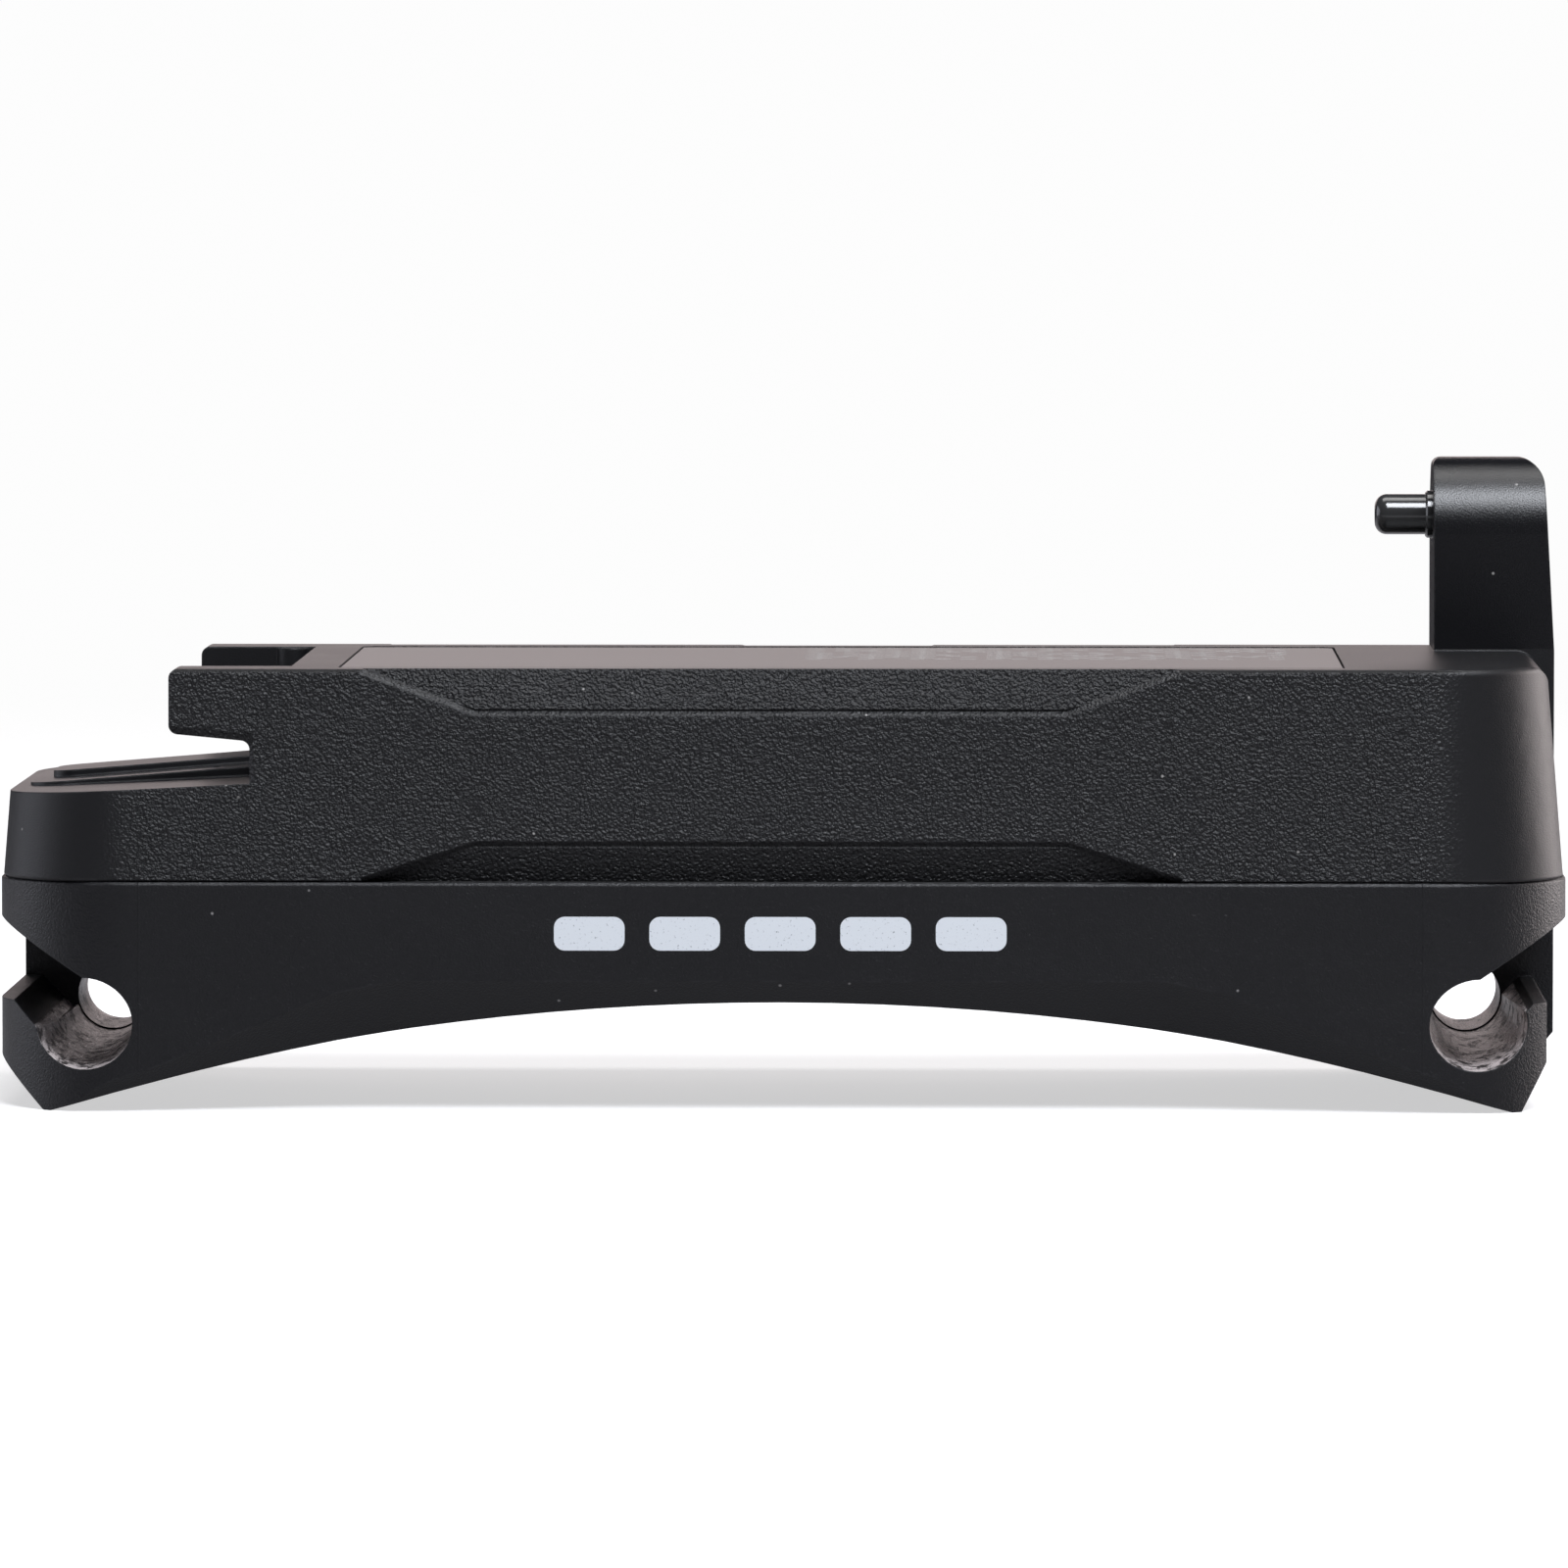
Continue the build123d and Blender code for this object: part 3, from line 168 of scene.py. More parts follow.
# %% [markdown]
# Spark-eroded steel leaves a much finer and shallower texture, seen on the lower shell and the post.
# It is noise of about a tenth of a millimetre, with a slow waviness under it, because a thick
# moulding sinks a little as it cools.
# %% Group: spark finish
tree, given, out = new_group("spark_finish", {"Size mm": 0.12}, ["Height", "Sink"])
place = add(tree, "ShaderNodeTexCoord").outputs["Object"]
density = calc(tree, "DIVIDE", 1000.0, given["Size mm"])
fine = add(tree, "ShaderNodeTexNoise", {"Vector": place, "Scale": density, "Detail": 2.0, "Roughness": 0.6})
slow = add(tree, "ShaderNodeTexNoise", {"Vector": place, "Scale": 90.0, "Detail": 1.0})
tree.links.new(fine.outputs[0], out["Height"])
tree.links.new(slow.outputs[0], out["Sink"])
print("group", tree.name)

# %% [markdown]
# Handling polishes and scuffs the outer edges first. A Bevel node gives the normal that a rounded edge
# would have, so where it differs from the true one there is an edge. Noise breaks the band, or it
# would look drawn on.
# %% Group: edge wear
tree, given, out = new_group("edge_wear", {"Reach mm": 0.25, "Amount": 0.6}, ["Mask"])
soft = add(tree, "ShaderNodeBevel", {"Radius": calc(tree, "MULTIPLY", given["Reach mm"], MM)}, samples=4)
flat = add(tree, "ShaderNodeNewGeometry").outputs["Normal"]
alike = add(tree, "ShaderNodeVectorMath", {0: soft.outputs[0], 1: flat}, operation="DOT_PRODUCT")
band = ramp(tree, alike.outputs["Value"], 0.995, 0.90)
place = add(tree, "ShaderNodeTexCoord").outputs["Object"]
patch = add(tree, "ShaderNodeTexNoise", {"Vector": place, "Scale": 420.0, "Detail": 6.0, "Roughness": 0.7})
broken = ramp(tree, patch.outputs[0], 0.42, 0.62)
tree.links.new(calc(tree, "MULTIPLY", calc(tree, "MULTIPLY", band, broken), given["Amount"]), out["Mask"])
print("group", tree.name)

# %% [markdown]
# Clean black plastic still carries specks of dust and a few rubbed places where it has been held.
# Both only change the colour and gloss a little.
# %% Group: dust and rubs
tree, given, out = new_group("dust_rubs", {"Speck mm": 0.5, "Cover": 0.5}, ["Specks", "Rubs"])
place = add(tree, "ShaderNodeTexCoord").outputs["Object"]
spots = add(tree, "ShaderNodeTexVoronoi", {"Vector": place, "Scale": calc(tree, "DIVIDE", 1000.0, given["Speck mm"])})
chance = add(tree, "ShaderNodeSeparateColor", {0: spots.outputs["Color"]}).outputs[0]
small = ramp(tree, spots.outputs["Distance"], 0.16, 0.06)
rare = calc(tree, "GREATER_THAN", chance, calc(tree, "SUBTRACT", 1.0, calc(tree, "MULTIPLY", given["Cover"], 0.05)))
tree.links.new(calc(tree, "MULTIPLY", small, rare), out["Specks"])
cloud = add(tree, "ShaderNodeTexNoise", {"Vector": place, "Scale": 55.0, "Detail": 5.0, "Roughness": 0.65})
tree.links.new(ramp(tree, cloud.outputs[0], 0.45, 0.75), out["Rubs"])
print("group", tree.name)

# %% [markdown]
# Drawn and stamped metal has fine lines along one axis. Noise stretched along that axis gives them.
# %% Group: drawn lines
tree, given, out = new_group("drawn_lines", {"Along X": 1.0, "Along Z": 0.0, "Line mm": 0.03}, ["Height"])
place = add(tree, "ShaderNodeSeparateXYZ", {0: add(tree, "ShaderNodeTexCoord").outputs["Object"]}).outputs
density = calc(tree, "DIVIDE", 1000.0, given["Line mm"])
scaled = []
for axis, squeeze in ((0, given["Along X"]), (1, None), (2, given["Along Z"])):
    share = calc(tree, "SUBTRACT", 1.0, calc(tree, "MULTIPLY", squeeze, 0.97)) if squeeze else 1.0
    scaled.append(calc(tree, "MULTIPLY", place[axis], calc(tree, "MULTIPLY", density, share)))
stretched = add(tree, "ShaderNodeCombineXYZ", dict(enumerate(scaled))).outputs[0]
lines = add(tree, "ShaderNodeTexNoise", {"Vector": stretched, "Scale": 1.0, "Detail": 2.0})
tree.links.new(lines.outputs[0], out["Height"])
print("group", tree.name)


# %% [markdown]
# Each finish starts as a Principled shader whose constant values sit on its own sockets. Every edge in
# the model is a mathematically sharp corner unless the CAD rounds it, so the normal first goes
# through a Bevel node of a tenth of a millimetre, which is what a real mould leaves.
# %% Start of a material
def start(slot_name, roughness, edge_mm=0.1, **constants):
    """A material with its shader and softened normal. Returns it, its tree, shader and normal."""
    material = bpy.data.materials.new(slot_name)
    material.use_nodes = True
    material.diffuse_color = BASE.get(slot_name, (0.5, 0.5, 0.5, 1.0))
    tree = material.node_tree
    shader = tree.nodes["Principled BSDF"]
    shader.inputs["Base Color"].default_value = BASE.get(slot_name, (0.5, 0.5, 0.5, 1.0))
    shader.inputs["Roughness"].default_value = roughness
    for key, value in constants.items():
        shader.inputs[key.replace("_", " ")].default_value = value
    normal = add(tree, "ShaderNodeBevel", {"Radius": edge_mm * MM}, samples=4).outputs[0]
    return material, tree, shader, normal


def relief(tree, shader, normal, *layers):
    """Bump layers (height, depth in mm) laid over each other into the shader's normal."""
    for height, depth in layers:
        inputs = {"Height": height, "Normal": normal, "Strength": 1.0, "Distance": depth * MM}
        normal = add(tree, "ShaderNodeBump", inputs).outputs[0]
    tree.links.new(normal, shader.inputs["Normal"])


def feed(tree, value, socket):
    """A link from a value to a shader's socket."""
    tree.links.new(value, socket)


def position(tree):
    """Object coordinates and their absolute X, as separate numbers."""
    axes = add(tree, "ShaderNodeSeparateXYZ", {0: add(tree, "ShaderNodeTexCoord").outputs["Object"]}).outputs
    return axes[0], axes[1], axes[2], calc(tree, "ABSOLUTE", axes[0])


def facing(tree):
    """How far the surface faces each way, from minus one to one."""
    return add(tree, "ShaderNodeSeparateXYZ", {0: add(tree, "ShaderNodeTexCoord").outputs["Normal"]}).outputs


FINISH = {}
print("material helpers ready")


# %% [markdown]
# The upper shell is grained on its long sides. The grain fades out round the plan corners, where the
# tool was polished so that it could be drawn off, and the top, deck and post have only the fine spark
# finish. The flat top and the deck are a little glossier.
# %% Finish: upper shell
def grained_shell():
    """Black plastic with pebble grain on the long sides."""
    material, tree, shader, normal = start("grained", 0.46, 0.18, Specular_IOR_Level=0.5)
    x, y, z, x_size = position(tree)
    way = facing(tree)
    flank = ramp(tree, calc(tree, "ABSOLUTE", way[1]), 0.55, 0.85)
    outer = calc(tree, "GREATER_THAN", calc(tree, "ABSOLUTE", y), side_y - 4.5 * MM)
    middle = ramp(tree, x_size, corner_x + 3.0 * MM, corner_x - 1.5 * MM)
    post = calc(tree, "GREATER_THAN", z, top_z + 0.2 * MM)
    sides = calc(tree, "MULTIPLY", calc(tree, "MULTIPLY", flank, middle), outer)
    grain = calc(tree, "MULTIPLY", sides, calc(tree, "SUBTRACT", 1.0, post))
    pebble = use(tree, "pebble_grain", **{"Cell mm": 0.21, "Round": 0.4, "Fine": 0.3})["Height"]
    spark = use(tree, "spark_finish", **{"Size mm": 0.10})
    relief(
        tree, shader, normal,
        (spark["Sink"], 0.03),
        (spark["Height"], 0.018),
        (calc(tree, "MULTIPLY", pebble, grain), 0.19))
    level = ramp(tree, way[2], 0.85, 0.97)
    rubs = use(tree, "dust_rubs", **{"Speck mm": 0.8, "Cover": 0.5})
    gloss = calc(tree, "SUBTRACT", blend_value(tree, level, 0.46, 0.33), calc(tree, "MULTIPLY", post, 0.17))
    feed(tree, calc(tree, "SUBTRACT", gloss, calc(tree, "MULTIPLY", rubs["Rubs"], 0.05)), shader.inputs["Roughness"])
    wear = use(tree, "edge_wear", **{"Reach mm": 0.2, "Amount": 0.35})["Mask"]
    worn = blend_colour(tree, wear, BASE["grained"], (0.10, 0.10, 0.105, 1.0))
    dusty = blend_colour(tree, rubs["Specks"], worn, (0.30, 0.29, 0.28, 1.0))
    feed(tree, dusty, shader.inputs["Base Color"])
    return material


FINISH["grained"] = grained_shell()
print("finish", FINISH["grained"].name)


# %% [markdown]
# The lower shell is smooth satin plastic. Two faint lines cross each long side where the blocks of the
# mould met, just where the plan corners begin. Inside the strap troughs the colour is a painted
# reflection: a pale pink, the tint of the backdrop seen in the top face, broken up by noise, with a
# lower roughness there. A mask measures the distance from the rod's axis to find the troughs, and the
# same stretched noise also bumps their surface a little.
# %% Finish: lower shell
def smooth_shell():
    """Satin black plastic with mould lines and a painted pale reflection in the troughs."""
    material, tree, shader, normal = start("smooth", 0.38, 0.16, Specular_IOR_Level=0.5)
    x, y, z, x_size = position(tree)
    line = ramp(tree, calc(tree, "ABSOLUTE", calc(tree, "SUBTRACT", x_size, corner_x - 0.6 * MM)), 0.09 * MM, 0.0)
    across = calc(tree, "SUBTRACT", x_size, rod.x)
    up = calc(tree, "SUBTRACT", z, rod.z)
    reach = calc(tree, "SQRT", calc(tree, "ADD", calc(tree, "POWER", across, 2.0), calc(tree, "POWER", up, 2.0)))
    hollow = ramp(tree, calc(tree, "ABSOLUTE", facing(tree)[1]), 0.6, 0.4)
    near = ramp(tree, reach, rod_r + 1.00 * MM, rod_r + 0.85 * MM)
    trough = calc(tree, "MULTIPLY", near, hollow)
    place = add(tree, "ShaderNodeTexCoord").outputs["Object"]
    stretch = add(tree, "ShaderNodeMapping", {"Vector": place, "Scale": (1.0, 0.35, 1.0)}).outputs[0]
    scuff_and_sheen_noise = add(tree, "ShaderNodeTexNoise", {"Vector": stretch, "Scale": 1500.0, "Detail": 6.0, "Roughness": 0.7})
    sheen_gaps = add(tree, "ShaderNodeTexNoise", {"Vector": place, "Scale": 700.0, "Detail": 3.0}).outputs[0]
    # Noise that breaks up the painted pale reflection in the troughs.
    sheen_breakup = calc(tree, "MULTIPLY", ramp(tree, scuff_and_sheen_noise.outputs[0], 0.40, 0.52), ramp(tree, sheen_gaps, 0.34, 0.46))
    trough_sheen = calc(tree, "MULTIPLY", trough, sheen_breakup)
    spark = use(tree, "spark_finish", **{"Size mm": 0.15})
    relief(
        tree, shader, normal,
        (spark["Sink"], 0.05),
        (spark["Height"], 0.055),
        (line, 0.02),
        (calc(tree, "MULTIPLY", trough, scuff_and_sheen_noise.outputs[0]), 0.03))
    rubs = use(tree, "dust_rubs", **{"Speck mm": 0.9, "Cover": 0.4})
    wear = use(tree, "edge_wear", **{"Reach mm": 0.2, "Amount": 0.3})["Mask"]
    worn = blend_colour(tree, wear, BASE["smooth"], (0.09, 0.09, 0.10, 1.0))
    # Painted reflection: where the trough mask is high, the colour is pushed to a pale pink.
    painted_trough_sheen = blend_colour(tree, trough_sheen, worn, (0.62, 0.56, 0.55, 1.0))
    dusty = blend_colour(tree, rubs["Specks"], painted_trough_sheen, (0.28, 0.27, 0.27, 1.0))
    feed(tree, dusty, shader.inputs["Base Color"])
    gloss = blend_value(tree, trough_sheen, 0.38, 0.24)
    feed(tree, calc(tree, "ADD", gloss, calc(tree, "MULTIPLY", rubs["Rubs"], 0.06)), shader.inputs["Roughness"])
    return material


FINISH["smooth"] = smooth_shell()
print("finish", FINISH["smooth"].name)


# %% [markdown]
# The label is a thin dark film with a fine emboss and a raised line along each long edge. It carries
# plain dashes in rows, as small print would look from a distance, and no words. A Brick texture gives
# rows of bars of one height and a random shade for each, and only the lighter ones are printed.
# %% Finish: label film
def label_film():
    """Dark film with rows of plain dashes at its far side."""
    material, tree, shader, normal = start("label", 0.30, 0.05, Specular_IOR_Level=0.5)
    x, y, z, x_size = position(tree)
    place = add(tree, "ShaderNodeTexCoord").outputs["Object"]
    bars = add(
        tree, "ShaderNodeTexBrick",
        {"Vector": place, "Scale": 1000.0, "Mortar Size": 0.36, "Brick Width": 1.7, "Row Height": 1.5,
         "Color1": (1, 1, 1, 1), "Color2": (0, 0, 0, 1), "Mortar": (0, 0, 0, 1)},
        offset=0.37)
    ink = add(tree, "ShaderNodeSeparateColor", {0: bars.outputs["Color"]}).outputs[0]
    rows = calc(tree, "MULTIPLY", ramp(tree, y, -3.0 * MM, -2.6 * MM), ramp(tree, y, 13.2 * MM, 12.8 * MM))
    span = calc(tree, "MULTIPLY", ramp(tree, x, 1.0 * MM, 1.4 * MM), ramp(tree, x, 33.6 * MM, 33.2 * MM))
    printed = calc(tree, "MULTIPLY", ramp(tree, ink, 0.30, 0.34), calc(tree, "MULTIPLY", rows, span))
    emboss = use(tree, "spark_finish", **{"Size mm": 0.16})
    inset = calc(tree, "SUBTRACT", calc(tree, "ABSOLUTE", y), label_high.y - 0.45 * MM)
    border = ramp(tree, calc(tree, "ABSOLUTE", inset), 0.22 * MM, 0.0)
    relief(
        tree, shader, normal,
        (emboss["Sink"], 0.02), (emboss["Height"], 0.005), (printed, 0.012), (border, 0.10))
    feed(tree, blend_colour(tree, printed, BASE["label"], (0.30, 0.29, 0.28, 1.0)), shader.inputs["Base Color"])
    feed(tree, blend_value(tree, printed, 0.30, 0.55), shader.inputs["Roughness"])
    return material


FINISH["label"] = label_film()
print("finish", FINISH["label"].name)


# %% [markdown]
# The remaining plastics and rubbers share one recipe and differ in grain size, gloss and wear: the
# soft port cover, the button, holders, seal, plug, component bodies and wire insulation.
# %% Finish: plain plastics and rubbers
def plain_plastic(slot_name, roughness, size_mm, depth_mm, light, **constants):
    """A moulded finish with spark texture, rubs and worn edges of a lighter colour."""
    material, tree, shader, normal = start(slot_name, roughness, 0.06, **constants)
    spark = use(tree, "spark_finish", **{"Size mm": size_mm})
    relief(tree, shader, normal, (spark["Sink"], 0.02), (spark["Height"], depth_mm))
    rubs = use(tree, "dust_rubs", **{"Speck mm": 0.5, "Cover": 0.5})
    wear = use(tree, "edge_wear", **{"Reach mm": 0.12, "Amount": 0.5})["Mask"]
    worn = blend_colour(tree, wear, BASE[slot_name], light)
    feed(tree, blend_colour(tree, rubs["Specks"], worn, light), shader.inputs["Base Color"])
    gloss = blend_value(tree, rubs["Rubs"], roughness, roughness - 0.1)
    feed(tree, gloss, shader.inputs["Roughness"])
    return material


FINISH["cover"] = plain_plastic("cover", 0.55, 0.09, 0.008, (0.09, 0.09, 0.09, 1.0))
FINISH["button"] = plain_plastic("button", 0.60, 0.08, 0.008, (0.20, 0.20, 0.20, 1.0))
FINISH["seal"] = plain_plastic("seal", 0.70, 0.10, 0.006, (0.08, 0.08, 0.08, 1.0))
FINISH["holder"] = plain_plastic("holder", 0.45, 0.12, 0.006, (0.20, 0.20, 0.20, 1.0))
FINISH["component"] = plain_plastic("component", 0.50, 0.06, 0.004, (0.16, 0.16, 0.16, 1.0))
FINISH["lead_red"] = plain_plastic("lead_red", 0.42, 0.08, 0.003, (0.60, 0.12, 0.10, 1.0))
FINISH["lead_black"] = plain_plastic("lead_black", 0.42, 0.08, 0.003, (0.10, 0.10, 0.10, 1.0))
FINISH["cell_sleeve"] = plain_plastic("cell_sleeve", 0.22, 0.30, 0.004, (0.20, 0.36, 0.60, 1.0), Coat_Weight=0.4)
FINISH["clear"] = plain_plastic("clear", 0.18, 0.20, 0.003, (0.85, 0.86, 0.86, 1.0), Transmission_Weight=0.5)
FINISH["foam"] = plain_plastic("foam", 0.95, 0.35, 0.20, (0.16, 0.16, 0.16, 1.0))
print("plain finishes", len(FINISH))


# %% [markdown]
# Metals are bright where they are new. Drawn lines run along the strips and screws, and slight stains
# change the roughness. The plunger is steel with a glossy black finish, worn at the rim of its nose.
# %% Finish: metals
def drawn_metal(slot_name, roughness, along_x, along_z, stain):
    """Bare or plated metal with drawn lines and stains."""
    material, tree, shader, normal = start(slot_name, roughness, 0.05, Metallic=1.0)
    lines = use(tree, "drawn_lines", **{"Along X": along_x, "Along Z": along_z, "Line mm": 0.04})["Height"]
    rubs = use(tree, "dust_rubs", **{"Speck mm": 0.4, "Cover": 0.6})
    relief(tree, shader, normal, (lines, 0.004))
    feed(tree, blend_colour(tree, rubs["Rubs"], BASE[slot_name], stain), shader.inputs["Base Color"])
    feed(tree, blend_value(tree, rubs["Rubs"], roughness, roughness + 0.18), shader.inputs["Roughness"])
    return material


def black_steel():
    """Steel under a thin glossy black coat."""
    material, tree, shader, normal = start("dark_steel", 0.16, 0.06, Coat_Weight=0.6, Coat_Roughness=0.08)
    rubs = use(tree, "dust_rubs", **{"Speck mm": 0.3, "Cover": 0.8})
    wear = use(tree, "edge_wear", **{"Reach mm": 0.15, "Amount": 0.7})["Mask"]
    lines = use(tree, "drawn_lines", **{"Along X": 0.0, "Along Z": 0.0, "Line mm": 0.05})["Height"]
    relief(tree, shader, normal, (lines, 0.002))
    feed(tree, blend_colour(tree, wear, BASE["dark_steel"], (0.28, 0.27, 0.26, 1.0)), shader.inputs["Base Color"])
    feed(tree, blend_value(tree, rubs["Rubs"], 0.14, 0.26), shader.inputs["Roughness"])
    return material


FINISH["nickel"] = drawn_metal("nickel", 0.28, 0.0, 1.0, (0.60, 0.57, 0.52, 1.0))
FINISH["socket_metal"] = drawn_metal("socket_metal", 0.30, 1.0, 0.0, (0.52, 0.52, 0.51, 1.0))
FINISH["gold"] = drawn_metal("gold", 0.22, 1.0, 0.0, (0.66, 0.46, 0.20, 1.0))
FINISH["steel"] = drawn_metal("steel", 0.32, 0.0, 1.0, (0.42, 0.41, 0.40, 1.0))
FINISH["dark_steel"] = black_steel()
print("metal finishes done")


# %% [markdown]
# The board's green mask lies over copper tracks, which show as slightly raised, lighter lines. The
# edges of a Voronoi texture with square distance make right-angled paths.
# %% Finish: circuit board
def board_mask():
    """Solder mask over raised tracks."""
    material, tree, shader, normal = start("board", 0.30, 0.04, Coat_Weight=0.3)
    place = add(tree, "ShaderNodeTexCoord").outputs["Object"]
    paths = add(
        tree, "ShaderNodeTexVoronoi", {"Vector": place, "Scale": 420.0, "Randomness": 0.55},
        feature="F1", distance="CHEBYCHEV")
    track = ramp(tree, calc(tree, "PINGPONG", paths.outputs["Distance"], 0.14), 0.10, 0.13)
    relief(tree, shader, normal, (track, 0.02))
    feed(tree, blend_colour(tree, track, BASE["board"], (0.05, 0.30, 0.14, 1.0)), shader.inputs["Base Color"])
    feed(tree, blend_value(tree, track, 0.34, 0.24), shader.inputs["Roughness"])
    return material


FINISH["board"] = board_mask()
print("finish", FINISH["board"].name)

# %% [markdown]
# Each CAD node keeps its mesh and takes the finish of its slot.
# %% Give every node its finish
for name, node in nodes.items():
    node.data.materials.clear()
    node.data.materials.append(FINISH[SLOT_OF[name]])
print("finished nodes", len(nodes))


# %% [markdown]
# The four case screws sit deep in the underside. Each has a round pan head with a cross recess and a
# thread. The thread is a profile that is turned while it climbs, so a loop of rings with a radius that
# depends on angle and height makes it. One screw is built, and Geometry Nodes place the four.
# %% One case screw
screw_low, screw_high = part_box("case_screws")
SCREW = {"head_r": 1.9 * MM, "head_h": 1.3 * MM, "shank_r": 1.0 * MM, "pitch": 0.8 * MM}


def screw_mesh():
    """A thread-forming screw, head down, with its head's seat at the origin and its axis along Z."""
    length = screw_high.z - screw_low.z - SCREW["head_h"]
    mesh = bmesh.new()
    sides, rings = 28, 66
    columns = []
    for ring in range(rings):
        z = length * ring / (rings - 1)
        point = min(1.0, (length - z) / (1.2 * MM))
        row = []
        for side in range(sides):
            turn = side / sides
            phase = (z / SCREW["pitch"] + turn) % 1.0
            crest = max(0.0, 1.0 - abs(phase - 0.5) / 0.28)
            radius = SCREW["shank_r"] * (0.78 + 0.22 * crest) * (0.35 + 0.65 * point)
            angle = 2 * math.pi * turn
            row.append(mesh.verts.new((radius * math.cos(angle), radius * math.sin(angle), z)))
        columns.append(row)
    head = [(1.0, -0.05), (1.0, 0.35), (0.93, 0.72), (0.78, 0.94), (0.55, 1.0)]
    below = []
    for share, drop in head:
        row = []
        for side in range(sides):
            angle = 2 * math.pi * side / sides
            radius = SCREW["head_r"] * share
            row.append(mesh.verts.new((radius * math.cos(angle), radius * math.sin(angle), -SCREW["head_h"] * drop)))
        below.append(row)
    rows = below[::-1] + columns
    for one, other in zip(rows, rows[1:]):
        for side in range(sides):
            after = (side + 1) % sides
            mesh.faces.new((one[side], one[after], other[after], other[side]))
    mesh.faces.new(columns[-1])
    recess(mesh, below[-1])
    bmesh.ops.recalc_face_normals(mesh, faces=mesh.faces)
    data = bpy.data.meshes.new("case_screw")
    mesh.to_mesh(data)
    mesh.free()
    return data


def recess(mesh, rim):
    """A cross recess inside the rim of a head: a star of walls down to a small floor."""
    sides = len(rim)
    z = rim[0].co.z
    edge, floor = [], []
    for side in range(sides):
        angle = 2 * math.pi * side / sides
        arm = abs(math.cos(2 * angle)) ** 6
        reach = (0.22 + 0.26 * arm) * SCREW["head_r"]
        edge.append(mesh.verts.new((reach * math.cos(angle), reach * math.sin(angle), z)))
        deep = 0.55 * reach
        floor.append(mesh.verts.new((deep * math.cos(angle), deep * math.sin(angle), z + 0.75 * MM)))
    for one, other in ((rim, edge), (edge, floor)):
        for side in range(sides):
            after = (side + 1) % sides
            mesh.faces.new((one[side], one[after], other[after], other[side]))
    mesh.faces.new(floor)


one_screw = bpy.data.objects.new("screw_pattern", screw_mesh())
print("screw faces", len(one_screw.data.polygons))


# %% [markdown]
# A Geometry Nodes tree repeats a shape on a grid. Its inputs are the pattern, the spacings and the
# finish, and Realize Instances turns the copies into real mesh.
# %% Tree: copies on a grid
def grid_tree(name):
    """Copies of an object on a grid of points, centred on the origin."""
    tree = bpy.data.node_groups.new(name, "GeometryNodeTree")
    face = tree.interface
    sockets = {}
    for key, kind, value in (
            ("Pattern", "NodeSocketObject", None), ("Finish", "NodeSocketMaterial", None),
            ("Count X", "NodeSocketInt", 2), ("Count Y", "NodeSocketInt", 2),
            ("Size X", "NodeSocketFloat", 0.01), ("Size Y", "NodeSocketFloat", 0.01)):
        socket = face.new_socket(name=key, in_out="INPUT", socket_type=kind)
        if value is not None:
            socket.default_value = value
        sockets[key] = socket.identifier
    face.new_socket(name="Geometry", in_out="OUTPUT", socket_type="NodeSocketGeometry")
    given = tree.nodes.new("NodeGroupInput").outputs
    out = tree.nodes.new("NodeGroupOutput").inputs
    grid = add(tree, "GeometryNodeMeshGrid", {
        "Size X": given["Size X"], "Size Y": given["Size Y"],
        "Vertices X": given["Count X"], "Vertices Y": given["Count Y"]})
    points = add(tree, "GeometryNodeMeshToPoints", {"Mesh": grid.outputs[0]})
    shape = add(tree, "GeometryNodeObjectInfo", {"Object": given["Pattern"]})
    copies = add(tree, "GeometryNodeInstanceOnPoints", {
        "Points": points.outputs[0], "Instance": shape.outputs["Geometry"]})
    real = add(tree, "GeometryNodeRealizeInstances", {"Geometry": copies.outputs[0]})
    painted = add(tree, "GeometryNodeSetMaterial", {"Geometry": real.outputs[0], "Material": given["Finish"]})
    tree.links.new(painted.outputs[0], out["Geometry"])
    return tree, sockets


GRID, GRID_INPUT = grid_tree("copies_on_grid")


def spread(name, pattern, finish, counts, sizes, centre):
    """A plain mesh of copies of the pattern on a grid about a centre, as a new object."""
    carrier = bpy.data.objects.new(name + "_carrier", bpy.data.meshes.new(name))
    bpy.context.scene.collection.objects.link(carrier)
    modifier = carrier.modifiers.new("copies", "NODES")
    modifier.node_group = GRID
    values = {"Pattern": pattern, "Finish": finish, "Count X": counts[0], "Count Y": counts[1],
              "Size X": sizes[0], "Size Y": sizes[1]}
    for key, value in values.items():
        modifier[GRID_INPUT[key]] = value
    bpy.context.view_layer.update()
    evaluated = carrier.evaluated_get(bpy.context.evaluated_depsgraph_get())
    mesh = bpy.data.meshes.new_from_object(evaluated)
    mesh.transform(Matrix.Translation(centre))
    mesh.name = name
    bpy.data.objects.remove(carrier)
    piece = bpy.data.objects.new(name, mesh)
    bpy.context.scene.collection.objects.link(piece)
    return piece


print("tree", GRID.name, "inputs", len(GRID_INPUT))

# %% [markdown]
# The screws' spacing is the box of the CAD screws less one head.
# %% Place the case screws
bpy.context.scene.collection.objects.link(one_screw)
screw_span = screw_high - screw_low
seat_z = screw_low.z + SCREW["head_h"]
screws = spread(
    "threaded_case_screws", one_screw, FINISH["steel"], (2, 2),
    (screw_span.x - 2 * SCREW["head_r"], screw_span.y - 2 * SCREW["head_r"]), Vector((0, 0, seat_z)))
screws.data.polygons.foreach_set("use_smooth", [True] * len(screws.data.polygons))
screws.data.set_sharp_from_angle(angle=math.radians(38))
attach(screws, "case")
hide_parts("case_screws")
bpy.data.objects.remove(one_screw)
print("screw triangles", len(screws.data.loop_triangles) or len(screws.data.polygons))


